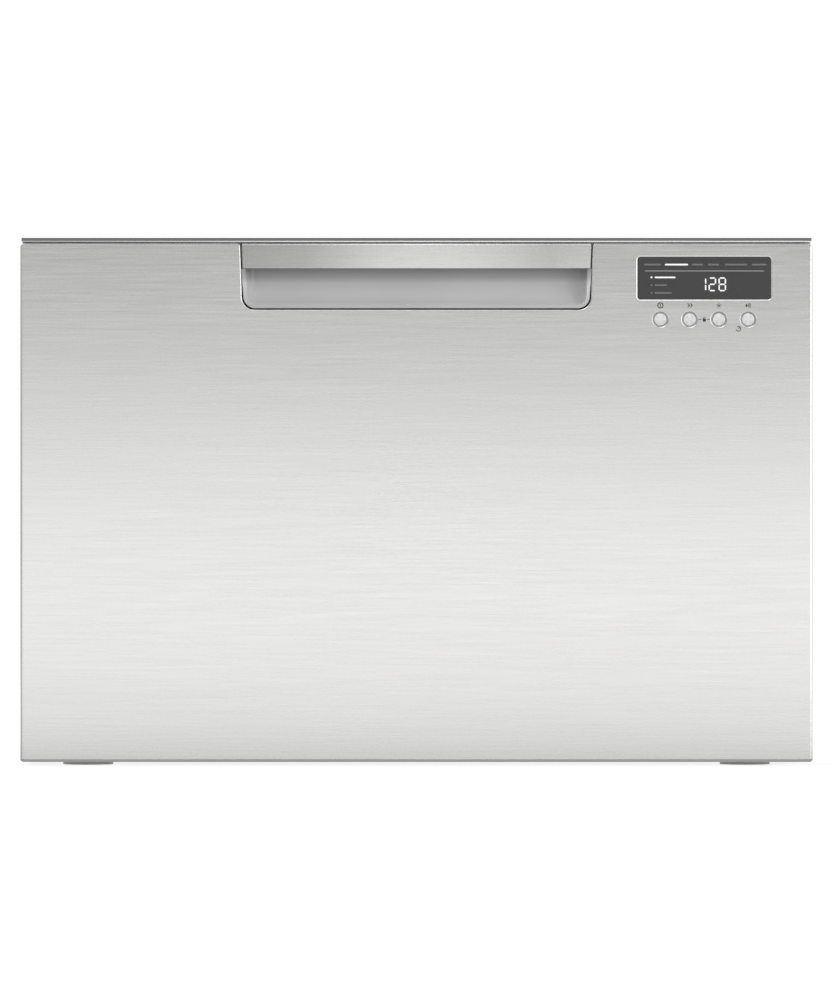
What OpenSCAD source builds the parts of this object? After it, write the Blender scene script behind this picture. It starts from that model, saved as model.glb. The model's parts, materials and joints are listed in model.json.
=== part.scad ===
// Built-in dishwasher drawer: a steel-fronted tub that slides out of a low chassis.
// X runs to the right, Y to the rear and Z up. The origin is on the floor, at the middle of the footprint.

/* [Drawer front] */
// Width across the drawer front
front_w = 599; // [590:1:620]
// Height of the drawer front with its top trim
front_h = 396; // [388:1:420]
// Thickness of the drawer front, face to rear
front_d = 20; // [19:0.5:26]
// Thickness of the steel front sheet
front_sheet = 1; // [0.8:0.1:1.2]
// Radius that the front sheet is folded to
front_edge_r = 2.3; // [1.5:0.1:3]
// Gap between the floor and the drawer front
floor_gap = 3; // [2:0.5:6]
// Height of the trim along the top of the drawer front
trim_h = 2.8; // [2:0.1:4]
// Dark groove between the trim and the front sheet
trim_gap = 1; // [0.6:0.1:1.6]
// How much shorter the trim is at each end
trim_inset = 1.1; // [0.5:0.1:2]

/* [Handle] */
// Half width of the handle notch at its top
notch_top = 133.6; // [110:0.1:150]
// How much each side of the notch leans in by its foot
notch_lean = 1.6; // [0:0.1:5]
// Depth of the handle notch down the front
notch_h = 50; // [46:0.5:60]
// Radius of the lower corners of the notch
notch_r = 9.5; // [6:0.5:12]
// Gap between the notch's edge and the pieces in it
notch_gap = 0.8; // [0.5:0.1:1.2]
// Height of the steel pull bar
bar_h = 18.8; // [14:0.2:24]
// Thickness of the pull bar
bar_t = 1.6; // [1.2:0.1:2.5]
// Width of the cup's flange that shows round the scoop
cup_flange = 2.7; // [2:0.1:4]
// Depth of the finger scoop behind the face
scoop_d = 15.5; // [12:0.5:16]
// Wall of the handle cup
cup_t = 1.8; // [1.2:0.1:2]

/* [Controls] */
// Distance from the drawer's middle to the middle of the controls
control_x = 217.4; // [205:0.1:230]
// Width of the display window
lens_w = 100; // [80:0.5:110]
// Height of the display window
lens_h = 31.3; // [24:0.1:36]
// Corner radius of the display window
lens_r = 2; // [1:0.1:3]
// Distance from the drawer's top down to the middle of the window
lens_drop = 30.2; // [26:0.1:36]
// Distance from the drawer's top down to the row of buttons
button_drop = 61.6; // [54:0.1:70]
// Distance between buttons
button_pitch = 22.1; // [18:0.1:26]
// Diameter of a button
button_d = 9.3; // [7:0.1:10]
// Diameter of the hole round a button
button_hole_d = 11.4; // [11:0.1:13]
// How far a button travels
button_travel = 1.1; // [0.6:0.1:1.5]

/* [Chassis] */
// Depth over all, drawer front to the rear of the sides
depth = 573; // [560:1:620]
// How much narrower the chassis is than the front, each side
chassis_inset = 2; // [1.5:0.1:5]
// How far the chassis top lies below the top of the trim
top_set_down = 3; // [3:0.5:8]
// Thickness of the chassis sheet
sheet_t = 1; // [0.8:0.1:1.5]
// Height of the chassis floor when the feet are screwed in
foot_h = 8; // [8:0.5:14]
// Radius of a levelling foot's pad
foot_r = 19; // [14:1:22]
// How far a foot screws out
foot_travel = 12; // [6:1:14]
// Recess behind the back panel for the connections
back_recess = 20.5; // [18:0.5:30]
// Width of the fold round the chassis opening
flange_w = 12; // [9:0.5:13]
// Gap between the chassis and the drawer front
seal_gap = 2.5; // [2:0.1:4]

/* [Slides] */
// Length of each slide
slide_l = 500; // [440:5:505]
// Thickness of a slide across its three rails
slide_t = 12.7; // [12:0.1:14]
// Height of a slide
slide_h = 46; // [40:1:50]
// Height of the slides' middle above the floor
slide_z = 105; // [95:1:140]
// Wall of the slide rails
slide_wall = 1.3; // [1:0.1:1.6]
// Running gap between the rails
slide_gap = 0.3; // [0.2:0.05:0.5]
// Width of the brackets between slides and tub
bracket_w = 21.8; // [16:0.1:26]

/* [Tub] */
// Gap between the raised lid and the brace over it
lid_gap = 2; // [1:0.1:4]
// Height of the tub floor's underside above the floor
tub_floor_z = 75; // [74:1:90]
// Wall of the tub
tub_t = 3; // [2.5:0.1:4]
// Thickness of the tub's double front wall
tub_front_t = 10; // [9:0.5:14]
// Width of the rim along the tub's sides
rim_w = 14; // [12:0.5:16]
// Width of the rim along the tub's rear
rim_rear_w = 10; // [9:0.5:14]
// Radius of the tub's upright corners
tub_r = 34; // [20:1:50]
// Free space behind the tub
rear_space = 43; // [40:1:60]

/* [Lid] */
// How far the lid comes down to seal the tub
lid_travel = 6; // [4:0.5:7]
// Height of the lid's seal
lid_seal_h = 5.7; // [4:0.1:7]
// Thickness of the lid's plate
lid_t = 2.5; // [2:0.1:4]
// Height of the lid with its ribs
lid_h = 12; // [8:0.5:13]
// Teeth on each lifting pinion
pinion_teeth = 18; // [17:1:19]
// Module of the rack and pinion
pinion_m = 1; // [1:0.01:1.02]

/* [Wash system] */
// Radius of the sump bowl inside
sump_r = 94; // [85:1:100]
// Depth of the sump below the tub's underside
sump_h = 31; // [30:0.5:32]
// Radius of the filter plate
filter_r = 118; // [114:1:124]
// Reach of the spray arm
arm_reach = 200; // [150:1:215]
// Thickness of the spray arm
arm_h = 10; // [8:0.5:12]
// Height of the spray arm's underside above the tub floor
arm_lift = 12; // [11:0.5:14]
// Radius of the heating element's ring
heater_ring_r = 76; // [70:1:80]
// Radius of the motor housing under the sump
motor_r = 55; // [48:1:62]

/* [Racks] */
// Thickness of the rack's main wires
wire = 4; // [3:0.2:5]
// Thickness of the plate tines
tine = 3; // [2.4:0.2:4]
// Gap between the rack and the tub's walls
rack_gap = 14; // [10:1:20]
// Height of the rack's floor above the tub floor
rack_lift = 35; // [32:1:45]
// Height of the rack's upper hoop above its floor
rack_wall_h = 84; // [70:1:100]
// Height of the plate tines
tine_h = 62; // [40:1:80]
// Distance between rows of tines
tine_pitch = 32; // [26:1:40]
// Height of the cup shelves above the rack's floor
shelf_h = 141; // [130:1:150]
// Reach of a cup shelf from its hinge
shelf_reach = 96; // [60:1:100]

/* [Hidden] */
$fn = 48;

// Shared clearances, and the height of the brace over the lid
seat = 0.3;
shaft_gap = 0.1;
brace_h = 9;

// Main planes, front to rear
face_y = -depth / 2;
rear_y = depth / 2;
front_rear_y = face_y + front_d;
chassis_y = front_rear_y + seal_gap;
back_y = rear_y - back_recess;
back_inner_y = back_y - sheet_t;
front_hw = front_w / 2;
chassis_hw = front_hw - chassis_inset;
inner_hw = chassis_hw - sheet_t;

// Main levels
front_z0 = floor_gap;
front_z1 = floor_gap + front_h;
sheet_z1 = front_z1 - trim_h - trim_gap;
base_z = foot_h;
top_z = front_z1 - top_set_down;
brace_z = top_z - sheet_t - brace_h;
lid_z = brace_z - lid_gap - lid_h;
rim_z = lid_z - lid_seal_h - lid_travel - seat;
lens_z = front_z1 - lens_drop;
button_z = front_z1 - button_drop;

// Tub
tub_hw = inner_hw - slide_t - bracket_w;
tub_y0 = chassis_y + 2;
tub_y1 = back_inner_y - rear_space;
tub_floor_top = tub_floor_z + tub_t;
tub_in_hw = tub_hw - tub_t;
tub_in_y0 = tub_y0 + tub_front_t;
tub_in_y1 = tub_y1 - tub_t;
rim_hw = tub_hw + rim_w;
rim_y1 = tub_y1 + rim_rear_w;
rim_t = 5;
wash_y = (tub_y0 + tub_y1) / 2;

// An arc's points, a rounded rectangle and the ways that outlines are extruded
function arc(cx, cy, r, a0, a1, n = 5) =
    [for (i = [0 : n]) let (a = a0 + (a1 - a0) * i / n) [cx + r * cos(a), cy + r * sin(a)]];
function round_rect(w, d, r, n = 5) = concat(
    arc(w / 2 - r, d / 2 - r, r, 0, 90, n), arc(-w / 2 + r, d / 2 - r, r, 90, 180, n),
    arc(-w / 2 + r, -d / 2 + r, r, 180, 270, n), arc(w / 2 - r, -d / 2 + r, r, 270, 360, n));
module along_y(y0, y1) translate([0, y1, 0]) rotate([90, 0, 0]) linear_extrude(y1 - y0) children();
module along_x(x0, x1) translate([x0, 0, 0]) rotate([90, 0, 90]) linear_extrude(x1 - x0) children();
module block(low, high) translate(low) cube(high - low);
module rod_y(x, z, r, y0, y1) translate([x, y1, z]) rotate([90, 0, 0]) cylinder(r = r, h = y1 - y0);
module rod_x(y, z, r, x0, x1) translate([x0, y, z]) rotate([0, 90, 0]) cylinder(r = r, h = x1 - x0);
module right_or_left(side) if (side > 0) children(); else mirror([1, 0, 0]) children();

// ---------------------------------------------------------------- chassis

rib_lift = 1.2;
rib_w = 60;
rib_gap = 70;
rib_foot = 30;
rib_head = 40;
fixing_r = 2.3;
fixing_inset = 22;
fixing_low_z = 190;
fixing_high_z = 340;
slide_window = slide_h / 2 + 6;

// Outline of the pressed ribs on a chassis side, as y centres
rib_ys = [for (i = [-1 : 1]) wash_y + i * (rib_w + rib_gap)];
rib_z0 = slide_z + slide_window + rib_foot;
rib_z1 = top_z - rib_head;

module side_panel(side) color([0.70, 0.71, 0.72]) right_or_left(side) difference() {
    union() {
        block([inner_hw, chassis_y, base_z], [chassis_hw, rear_y, top_z]);
        block([chassis_hw - flange_w, chassis_y, base_z], [chassis_hw, chassis_y + sheet_t, top_z]);
        for (y = rib_ys)
            block([inner_hw, y - rib_w / 2, rib_z0], [chassis_hw + rib_lift, y + rib_w / 2, rib_z1]);
    }
    for (y = rib_ys)
        block([inner_hw - 1, y - rib_w / 2 + sheet_t, rib_z0 + sheet_t],
              [inner_hw + rib_lift, y + rib_w / 2 - sheet_t, rib_z1 - sheet_t]);
    // the slides and their brackets pass through the fold round the opening
    block([chassis_hw - flange_w - 1, chassis_y - 1, slide_z - slide_window],
          [inner_hw, chassis_y + sheet_t + 1, slide_z + slide_window]);
    for (z = [fixing_low_z, fixing_high_z])
        rod_x(chassis_y + fixing_inset, z, fixing_r, inner_hw - 1, chassis_hw + 1);
}

inlet_x = -105;
drain_x = -215;
terminal_x = 120;
rear_service_z = 58;
inlet_thread_r = 13.2;
drain_pipe_r = 10;
gland_r = 9;
collar = 2.5;
collar_t = 2.5;
vent_count = 9;
vent_w = 4;
vent_h = 60;
vent_drop = 90;
vent_z0 = rim_z - vent_drop;

module back_panel() color([0.66, 0.67, 0.68]) difference() {
    union() {
        block([-inner_hw, back_inner_y, base_z], [inner_hw, back_y, top_z]);
        for (s = [-1, 1]) right_or_left(s)
            block([inner_hw - sheet_t, back_inner_y - flange_w, base_z + pan_wall_h + 2],
                  [inner_hw, back_inner_y, top_z - cover_flange_h - 2]);
    }
    rod_y(inlet_x, rear_service_z, inlet_thread_r + seat, back_inner_y - 1, back_y + 1);
    rod_y(drain_x, rear_service_z, drain_pipe_r + seat, back_inner_y - 1, back_y + 1);
    rod_y(terminal_x, rear_service_z, gland_r + seat, back_inner_y - 1, back_y + 1);
    for (i = [0 : vent_count - 1]) {
        x = (i - (vent_count - 1) / 2) * 3 * vent_w;
        block([x - vent_w / 2, back_inner_y - 1, vent_z0], [x + vent_w / 2, back_y + 1, vent_z0 + vent_h]);
    }
}

pan_wall_h = 24;
pan_front_gap = 1.5;
foot_x = 250;
foot_in = 30;
foot_stem_r = 4;
foot_boss_r = 9;
foot_boss_h = 12;
foot_pad_h = 6;
foot_ys = [chassis_y + foot_in, back_inner_y - foot_in];

module base_pan() color([0.64, 0.65, 0.66]) difference() {
    union() {
        block([-inner_hw, chassis_y, base_z], [inner_hw, back_inner_y, base_z + pan_wall_h]);
        for (x = [-foot_x, foot_x], y = foot_ys)
            translate([x, y, base_z]) cylinder(r = foot_boss_r, h = foot_boss_h);
    }
    difference() {
        block([-inner_hw + sheet_t, chassis_y + sheet_t, base_z + sheet_t],
              [inner_hw - sheet_t, back_inner_y - sheet_t, base_z + pan_wall_h + 1]);
        for (x = [-foot_x, foot_x], y = foot_ys)
            translate([x, y, base_z]) cylinder(r = foot_boss_r, h = foot_boss_h);
    }
    // the front wall is low, so that the pump passes over it, and stops short of the folds of the sides
    block([-inner_hw - 1, chassis_y - 1, motor_z0 - pan_front_gap],
          [inner_hw + 1, chassis_y + sheet_t, base_z + pan_wall_h + 1]);
    for (s = [-1, 1]) right_or_left(s)
        block([chassis_hw - flange_w, chassis_y - 1, base_z - 1],
              [chassis_hw, chassis_y + sheet_t, base_z + pan_wall_h + 1]);
    for (x = [-foot_x, foot_x], y = foot_ys)
        translate([x, y, base_z - 1]) cylinder(r = foot_stem_r + shaft_gap, h = foot_boss_h + 2);
}

cover_flange_h = 10;
cover_front_h = 12;
cover_rib_x0 = 40;
cover_rib_x1 = 240;
cover_rib_y0 = wash_y - 170;
cover_rib_y1 = wash_y + 190;

module top_cover() color([0.68, 0.69, 0.70]) difference() {
    union() {
        block([-inner_hw, chassis_y, top_z - cover_flange_h], [inner_hw, back_inner_y, top_z]);
        block([-chassis_hw + flange_w, chassis_y, top_z - cover_front_h],
              [chassis_hw - flange_w, chassis_y + sheet_t, top_z]);
        for (s = [-1, 1]) right_or_left(s)
            block([cover_rib_x0, cover_rib_y0, top_z - sheet_t],
                  [cover_rib_x1, cover_rib_y1, top_z + rib_lift]);
    }
    block([-inner_hw + sheet_t, chassis_y + sheet_t, top_z - cover_flange_h - 1],
          [inner_hw - sheet_t, back_inner_y - sheet_t, top_z - sheet_t]);
    for (s = [-1, 1]) right_or_left(s) {
        block([cover_rib_x0 + sheet_t, cover_rib_y0 + sheet_t, top_z - sheet_t - 1],
              [cover_rib_x1 - sheet_t, cover_rib_y1 - sheet_t, top_z + rib_lift - sheet_t]);
        block([chassis_hw - flange_w, chassis_y - 1, top_z - cover_front_h - 1],
              [chassis_hw, chassis_y + sheet_t, top_z + 1]);
    }
}

brace_d = 24;
brace_t = 1.2;
brace_hw = inner_hw - sheet_t - seat;
brace_y = chassis_y + sheet_t;

module front_brace() color([0.60, 0.61, 0.62]) along_x(-brace_hw, brace_hw) polygon([
    [brace_y, brace_z], [brace_y + brace_d, brace_z], [brace_y + brace_d, brace_z + brace_t],
    [brace_y + brace_t, brace_z + brace_t], [brace_y + brace_t, brace_z + brace_h - brace_t],
    [brace_y + brace_d, brace_z + brace_h - brace_t], [brace_y + brace_d, brace_z + brace_h],
    [brace_y, brace_z + brace_h]]);

seal_w = 9;
seal_t = seal_gap - seat;

module opening_seal() color([0.16, 0.16, 0.17]) {
    for (s = [-1, 1]) right_or_left(s)
        block([chassis_hw - flange_w + 1, chassis_y - seal_t, slide_z + slide_window + 8],
              [chassis_hw - flange_w + 1 + seal_w, chassis_y, top_z - 2]);
    block([-chassis_hw + flange_w - 1, chassis_y - seal_t, top_z - 2 - seal_w],
          [chassis_hw - flange_w + 1 + 1, chassis_y, top_z - 2]);
}

// ---------------------------------------------------------------- slides

slide_y0 = chassis_y + 9;
rail_mid = slide_h / 2 - slide_wall - slide_gap;
rail_mid_t = 5.9;
rail_mid_u = slide_wall + 1.7;
rail_in = rail_mid - rail_mid_t - slide_gap;
rail_in_u = 6;

// Rail outlines: u runs inwards from the chassis wall, v is up from the slide's middle
module rail(side, y0, y1, outline) right_or_left(side)
    along_y(y0, y1) polygon([for (p = outline) [inner_hw - p[0], slide_z + p[1]]]);

function channel(u0, u1, half, web, lip) = [
    [u0, -half], [u1, -half], [u1, -half + lip], [u0 + web, -half + lip],
    [u0 + web, half - lip], [u1, half - lip], [u1, half], [u0, half]];

module slide_outer(side) color([0.74, 0.75, 0.77])
    rail(side, slide_y0, slide_y0 + slide_l, channel(0, slide_t, slide_h / 2, slide_wall, slide_wall));

module slide_middle(side) color([0.62, 0.63, 0.65])
    rail(side, slide_y0 + 2, slide_y0 + slide_l - 2,
         channel(rail_mid_u, slide_t - 0.5, rail_mid, slide_wall, rail_mid_t));

module slide_inner(side) color([0.76, 0.77, 0.79])
    rail(side, slide_y0, slide_y0 + slide_l,
         channel(slide_t, rail_in_u, rail_in, -slide_wall, slide_wall));

bracket_t = 1.5;
bracket_h = 26;
bracket_end = 40;

module slide_brackets() color([0.55, 0.56, 0.58]) for (s = [-1, 1]) right_or_left(s)
    along_y(slide_y0 + bracket_end / 2, slide_y0 + slide_l - 2 * bracket_end) polygon([
        [tub_hw, slide_z - bracket_h / 2], [tub_hw + bracket_t, slide_z - bracket_h / 2],
        [tub_hw + bracket_t, slide_z + bracket_h / 2 - bracket_t],
        [inner_hw - slide_t - bracket_t, slide_z + bracket_h / 2 - bracket_t],
        [inner_hw - slide_t - bracket_t, slide_z - bracket_h / 2],
        [inner_hw - slide_t, slide_z - bracket_h / 2], [inner_hw - slide_t, slide_z + bracket_h / 2],
        [tub_hw, slide_z + bracket_h / 2]]);

// ---------------------------------------------------------------- feet and rear connections

module foot(x, y) color([0.84, 0.84, 0.82]) translate([x, y, 0]) {
    cylinder(r = foot_r, h = foot_pad_h - 2);
    translate([0, 0, foot_pad_h - 2]) cylinder(r1 = foot_r, r2 = foot_r - 5, h = 2);
    cylinder(r = 8, h = base_z - seat, $fn = 6);
    cylinder(r = foot_stem_r, h = base_z + foot_boss_h + foot_travel + 1);
}

valve_w = 44;
valve_h = 40;
valve_d = 32;

module inlet_valve() color([0.86, 0.86, 0.84]) difference() {
    union() {
        block([inlet_x - valve_w / 2, back_inner_y - valve_d, rear_service_z - valve_h / 2],
              [inlet_x + valve_w / 2, back_inner_y, rear_service_z + valve_h / 2]);
        rod_y(inlet_x, rear_service_z, inlet_thread_r, back_inner_y - 1, rear_y - 2);
        rod_y(inlet_x, rear_service_z, inlet_thread_r + collar, back_y, back_y + collar_t);
        translate([inlet_x, back_inner_y - valve_d / 2, rear_service_z + valve_h / 2])
            cylinder(r = 12, h = 26);
        // the valve hangs on the pan's rear wall by this foot
        block([inlet_x - 12, back_inner_y - sheet_t - 8, base_z + sheet_t],
              [inlet_x + 12, back_inner_y - sheet_t, rear_service_z]);
    }
    rod_y(inlet_x, rear_service_z, 8, back_inner_y - 16, rear_y + 1);
}

module drain_connector() color([0.30, 0.30, 0.32]) difference() {
    union() {
        rod_y(drain_x, rear_service_z, drain_pipe_r, back_inner_y - 3, rear_y - 1);
        rod_y(drain_x, rear_service_z, drain_pipe_r + 6, back_inner_y - 3, back_inner_y);
        rod_y(drain_x, rear_service_z, drain_pipe_r + collar, back_y, back_y + collar_t);
    }
    rod_y(drain_x, rear_service_z, drain_pipe_r - 2, back_inner_y - 4, rear_y);
}

terminal_w = 70;
terminal_h = 46;
terminal_d = 30;
gland_bore_r = 5;

module terminal_box() color([0.24, 0.24, 0.26]) difference() {
    union() {
        block([terminal_x - terminal_w / 2, back_inner_y - terminal_d, rear_service_z - terminal_h / 2],
              [terminal_x + terminal_w / 2, back_inner_y, rear_service_z + terminal_h / 2]);
        rod_y(terminal_x, rear_service_z, gland_r, back_inner_y - 1, back_y + 14);
        translate([terminal_x, back_y + 4, rear_service_z]) rotate([90, 0, 0])
            cylinder(r = gland_r + 3, h = 4, $fn = 6);
    }
    rod_y(terminal_x, rear_service_z, gland_bore_r, back_inner_y - 14, back_y + 15);
}

hose_r = 9;
hose_bend = 26;
hose_z = rear_service_z;
hose_right_x = 195;
hose_run_back = 210;
hose_lateral_y = wash_y + hose_run_back;
spigot_r = 9;
spigot_l = 24;
spigot_end = sump_r + spigot_l;

// Quarter bend in the hose's plane, from the heading a0 degrees round its centre
module hose_bend_at(x, y, start) translate([x, y, hose_z]) rotate([0, 0, start])
    rotate_extrude(angle = 90) translate([hose_bend, 0]) circle(r = hose_r);

module drain_hose() color([0.56, 0.57, 0.58]) {
    rod_x(wash_y, hose_z, hose_r, spigot_end, hose_right_x - hose_bend);
    hose_bend_at(hose_right_x - hose_bend, wash_y + hose_bend, -90);
    rod_y(hose_right_x, hose_z, hose_r, wash_y + hose_bend, hose_lateral_y - hose_bend);
    hose_bend_at(hose_right_x - hose_bend, hose_lateral_y - hose_bend, 0);
    rod_x(hose_lateral_y, hose_z, hose_r, drain_x + hose_bend, hose_right_x - hose_bend);
    hose_bend_at(drain_x + hose_bend, hose_lateral_y + hose_bend, 180);
    rod_y(drain_x, hose_z, hose_r, hose_lateral_y + hose_bend, back_inner_y - 3);
}

screw_r = 4;
screw_h = 1.3;
socket_r = 1.6;
slide_screw_in = 30;
side_screw_in = 60;
rear_screw_pitch = 160;
low_screw_z = base_z + pan_wall_h / 2;
high_screw_z = top_z - cover_flange_h / 2 - 1;

module screw_head() difference() {
    cylinder(r = screw_r, h = screw_h);
    translate([0, 0, screw_h / 2]) cylinder(r = socket_r, h = screw_h, $fn = 6);
}

module chassis_screws() color([0.48, 0.49, 0.50]) {
    for (s = [-1, 1]) right_or_left(s) {
        for (y = [slide_y0 + slide_screw_in, wash_y, slide_y0 + slide_l - slide_screw_in])
            translate([chassis_hw, y, slide_z]) rotate([0, 90, 0]) screw_head();
        for (y = [chassis_y + side_screw_in, back_inner_y - side_screw_in], z = [low_screw_z, high_screw_z])
            translate([chassis_hw, y, z]) rotate([0, 90, 0]) screw_head();
    }
    for (i = [-1.5 : 1.5], z = [low_screw_z, high_screw_z])
        translate([i * rear_screw_pitch, back_y, z]) rotate([-90, 0, 0]) screw_head();
}

// ---------------------------------------------------------------- lid and its lift

lid_hw = rim_hw + 2;
lid_y0 = tub_y0;
lid_y1 = rim_y1 + 2;
lid_wall = 2;
rack_w = 8;
rack_len = top_z - sheet_t - 0.5 - lid_z;
pinion_r = pinion_m * pinion_teeth / 2;
pinion_z = lid_z + 11;
pinion_y = wash_y;
rack_pitch_y = pinion_y - pinion_r;
backlash = 0.16;
rack_x = lid_hw + 1;
rack_spine = 7;
lid_rib_t = 2;
lid_rib_pitch_x = 92;
lid_rib_pitch_y = 110;
lid_rib_z0 = lid_z + lid_t - 0.2;
lid_rib_z1 = lid_z + lid_h - 3;

// Rack teeth face the rear: trapezoids on the pitch line, with a gap level with the pinion's middle
module rack_teeth() {
    p = 3.14159 * pinion_m;
    half = p / 4 - backlash;
    slope = tan(20) * pinion_m;
    for (i = [-4 : 3]) {
        z = pinion_z + (i + 0.5) * p;
        polygon([[rack_pitch_y - 1.2 * pinion_m, z - half - 1.2 * slope],
                 [rack_pitch_y + 0.9 * pinion_m, z - half + 0.9 * slope],
                 [rack_pitch_y + 0.9 * pinion_m, z + half - 0.9 * slope],
                 [rack_pitch_y - 1.2 * pinion_m, z + half + 1.2 * slope]]);
    }
}

module lid() color([0.88, 0.89, 0.90]) {
    difference() {
        translate([0, (lid_y0 + lid_y1) / 2, lid_z]) linear_extrude(lid_h)
            polygon(round_rect(2 * lid_hw, lid_y1 - lid_y0, 12));
        translate([0, (lid_y0 + lid_y1) / 2, lid_z + lid_t]) linear_extrude(lid_h)
            polygon(round_rect(2 * (lid_hw - lid_wall), lid_y1 - lid_y0 - 2 * lid_wall, 10));
    }
    for (i = [-2 : 2])
        block([i * lid_rib_pitch_x - lid_rib_t / 2, lid_y0 + brace_d + 6, lid_rib_z0],
              [i * lid_rib_pitch_x + lid_rib_t / 2, lid_y1 - 1, lid_rib_z1]);
    for (i = [-1 : 1])
        block([-lid_hw + 1, wash_y + i * lid_rib_pitch_y - lid_rib_t / 2, lid_rib_z0],
              [lid_hw - 1, wash_y + i * lid_rib_pitch_y + lid_rib_t / 2, lid_rib_z1]);
    for (s = [-1, 1]) right_or_left(s) {
        block([lid_hw - 1, rack_pitch_y - rack_spine, lid_z],
              [rack_x + rack_w, rack_pitch_y - 1.2 * pinion_m, lid_z + rack_len]);
        along_x(rack_x, rack_x + rack_w) intersection() {
            rack_teeth();
            translate([rack_pitch_y - 3, lid_z]) square([6, rack_len]);
        }
    }
}

lid_seal_w = 6;
seal_in = 1.5;

module lid_seal() color([0.33, 0.34, 0.35]) difference() {
    translate([0, (tub_y0 + seal_in + rim_y1 - 2) / 2, lid_z - lid_seal_h]) linear_extrude(lid_seal_h)
        polygon(round_rect(2 * (tub_hw + 9), rim_y1 - 2 - tub_y0 - seal_in, 14));
    translate([0, (tub_y0 + seal_in + rim_y1 - 2) / 2, lid_z - lid_seal_h - 1]) linear_extrude(lid_seal_h + 2)
        polygon(round_rect(2 * (tub_hw + 9 - lid_seal_w), rim_y1 - 2 - tub_y0 - seal_in - 2 * lid_seal_w, 8));
}

lift_shaft_r = 2.5;
motor_x0 = rack_x + rack_w + 1.2;
motor_x1 = inner_hw - sheet_t - seat;
motor_front = 12;
motor_back = 46;
motor_half = 9;
motor_can = 32;
motor_cap = 2;

function involute(rb, t) = [rb * (cos(t) + t * PI / 180 * sin(t)), rb * (sin(t) - t * PI / 180 * cos(t))];
function turned(p, a) = [p[0] * cos(a) - p[1] * sin(a), p[0] * sin(a) + p[1] * cos(a)];
function flank_angle(rb, r) = sqrt(r * r / (rb * rb) - 1) * 180 / PI;

// One tooth of the pinion, pointing along +X
module pinion_tooth() {
    rb = pinion_r * cos(20);
    ro = pinion_r + 0.9 * pinion_m;
    at_pitch = involute(rb, flank_angle(rb, pinion_r));
    lean = atan2(at_pitch[1], at_pitch[0]);
    half = 90 / pinion_teeth - backlash / pinion_r * 180 / PI;
    steps = [for (i = [0 : 5]) flank_angle(rb, rb + (ro - rb) * i / 5)];
    upper = [for (t = steps) turned(involute(rb, t), -lean - half)];
    polygon(concat([[0, 0]], upper, [for (i = [5 : -1 : 0]) [upper[i][0], -upper[i][1]]]));
}

module lid_pinion(side) color([0.93, 0.92, 0.88]) right_or_left(side)
    translate([0, pinion_y, pinion_z]) {
        along_x(rack_x, rack_x + rack_w) {
            circle(r = pinion_r - 1.2 * pinion_m);
            for (i = [0 : pinion_teeth - 1]) rotate(180 + i * 360 / pinion_teeth) pinion_tooth();
        }
        rod_x(0, 0, lift_shaft_r, rack_x, motor_x1 - motor_cap);
    }

// Screwed to the chassis sides, and drawn in above the folded edge of the top cover
module lid_motors() color([0.18, 0.18, 0.19]) for (s = [-1, 1]) right_or_left(s) difference() {
    union() {
        block([motor_x0, pinion_y - motor_front, pinion_z - motor_half],
              [motor_x1, pinion_y + motor_back, pinion_z + motor_half]);
        block([motor_x0, pinion_y - motor_front, pinion_z - motor_half],
              [inner_hw, pinion_y + motor_back, top_z - cover_flange_h - seat]);
        rod_y((motor_x0 + motor_x1) / 2, pinion_z, (motor_x1 - motor_x0) / 2,
              pinion_y + motor_back - 1, pinion_y + motor_back + motor_can);
    }
    rod_x(pinion_y, pinion_z, lift_shaft_r + shaft_gap, motor_x0 - 1, motor_x1 - motor_cap + seat);
}

// ---------------------------------------------------------------- drawer front

notch_foot_z = sheet_z1 - notch_h;
notch_foot = notch_top - notch_lean;

// Outline of the notch, grown by g: straight leaning sides, round lower corners, open at the top
function notch_outline(g, top) = concat(
    [[notch_top + g, top]],
    [for (p = arc(notch_foot + g - notch_r, notch_foot_z - g + notch_r, notch_r, 0, -90, 6)) p],
    [for (p = arc(-notch_foot - g + notch_r, notch_foot_z - g + notch_r, notch_r, -90, -180, 6)) p],
    [[-notch_top - g, top]]);

// A fold of radius r along two edges at y = 0: the outline of a tray w wide and d deep
function folded(w0, w1, d, r) =
    concat([[w0, d]], arc(w0 + r, r, r, 180, 270, 6), arc(w1 - r, r, r, 270, 360, 6), [[w1, d]]);

window_gap = 0.5;
button_xs = [for (i = [-1.5 : 1.5]) control_x + i * button_pitch];

module front_panel() color([0.80, 0.80, 0.81]) difference() {
    intersection() {
        translate([0, face_y, front_z0 - 1]) linear_extrude(front_h + 2)
            polygon(folded(-front_hw, front_hw, front_d, front_edge_r));
        along_x(-front_hw - 1, front_hw + 1)
            polygon([for (p = folded(front_z0, sheet_z1, front_d, front_edge_r)) [face_y + p[1], p[0]]]);
        translate([0, 0, (front_z0 + sheet_z1) / 2]) along_y(face_y - 1, front_rear_y + 1)
            polygon(round_rect(front_w, sheet_z1 - front_z0, front_edge_r));
    }
    block([-front_hw + front_sheet, face_y + front_sheet, front_z0 + front_sheet],
          [front_hw - front_sheet, front_rear_y + 1, sheet_z1 - front_sheet]);
    along_y(face_y - 1, front_rear_y + 1) polygon(notch_outline(0, sheet_z1 + 1));
    translate([control_x, 0, lens_z]) along_y(face_y - 1, face_y + front_sheet + 1)
        polygon(round_rect(lens_w + 2 * window_gap, lens_h + 2 * window_gap, lens_r));
    for (x = button_xs) rod_y(x, button_z, button_hole_d / 2, face_y - 1, face_y + front_sheet + 1);
}

trim_setback = 1;
trim_edge_r = 1.2;
tongue_t = 1.5;
tongue_y = face_y + front_sheet + 16;

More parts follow.
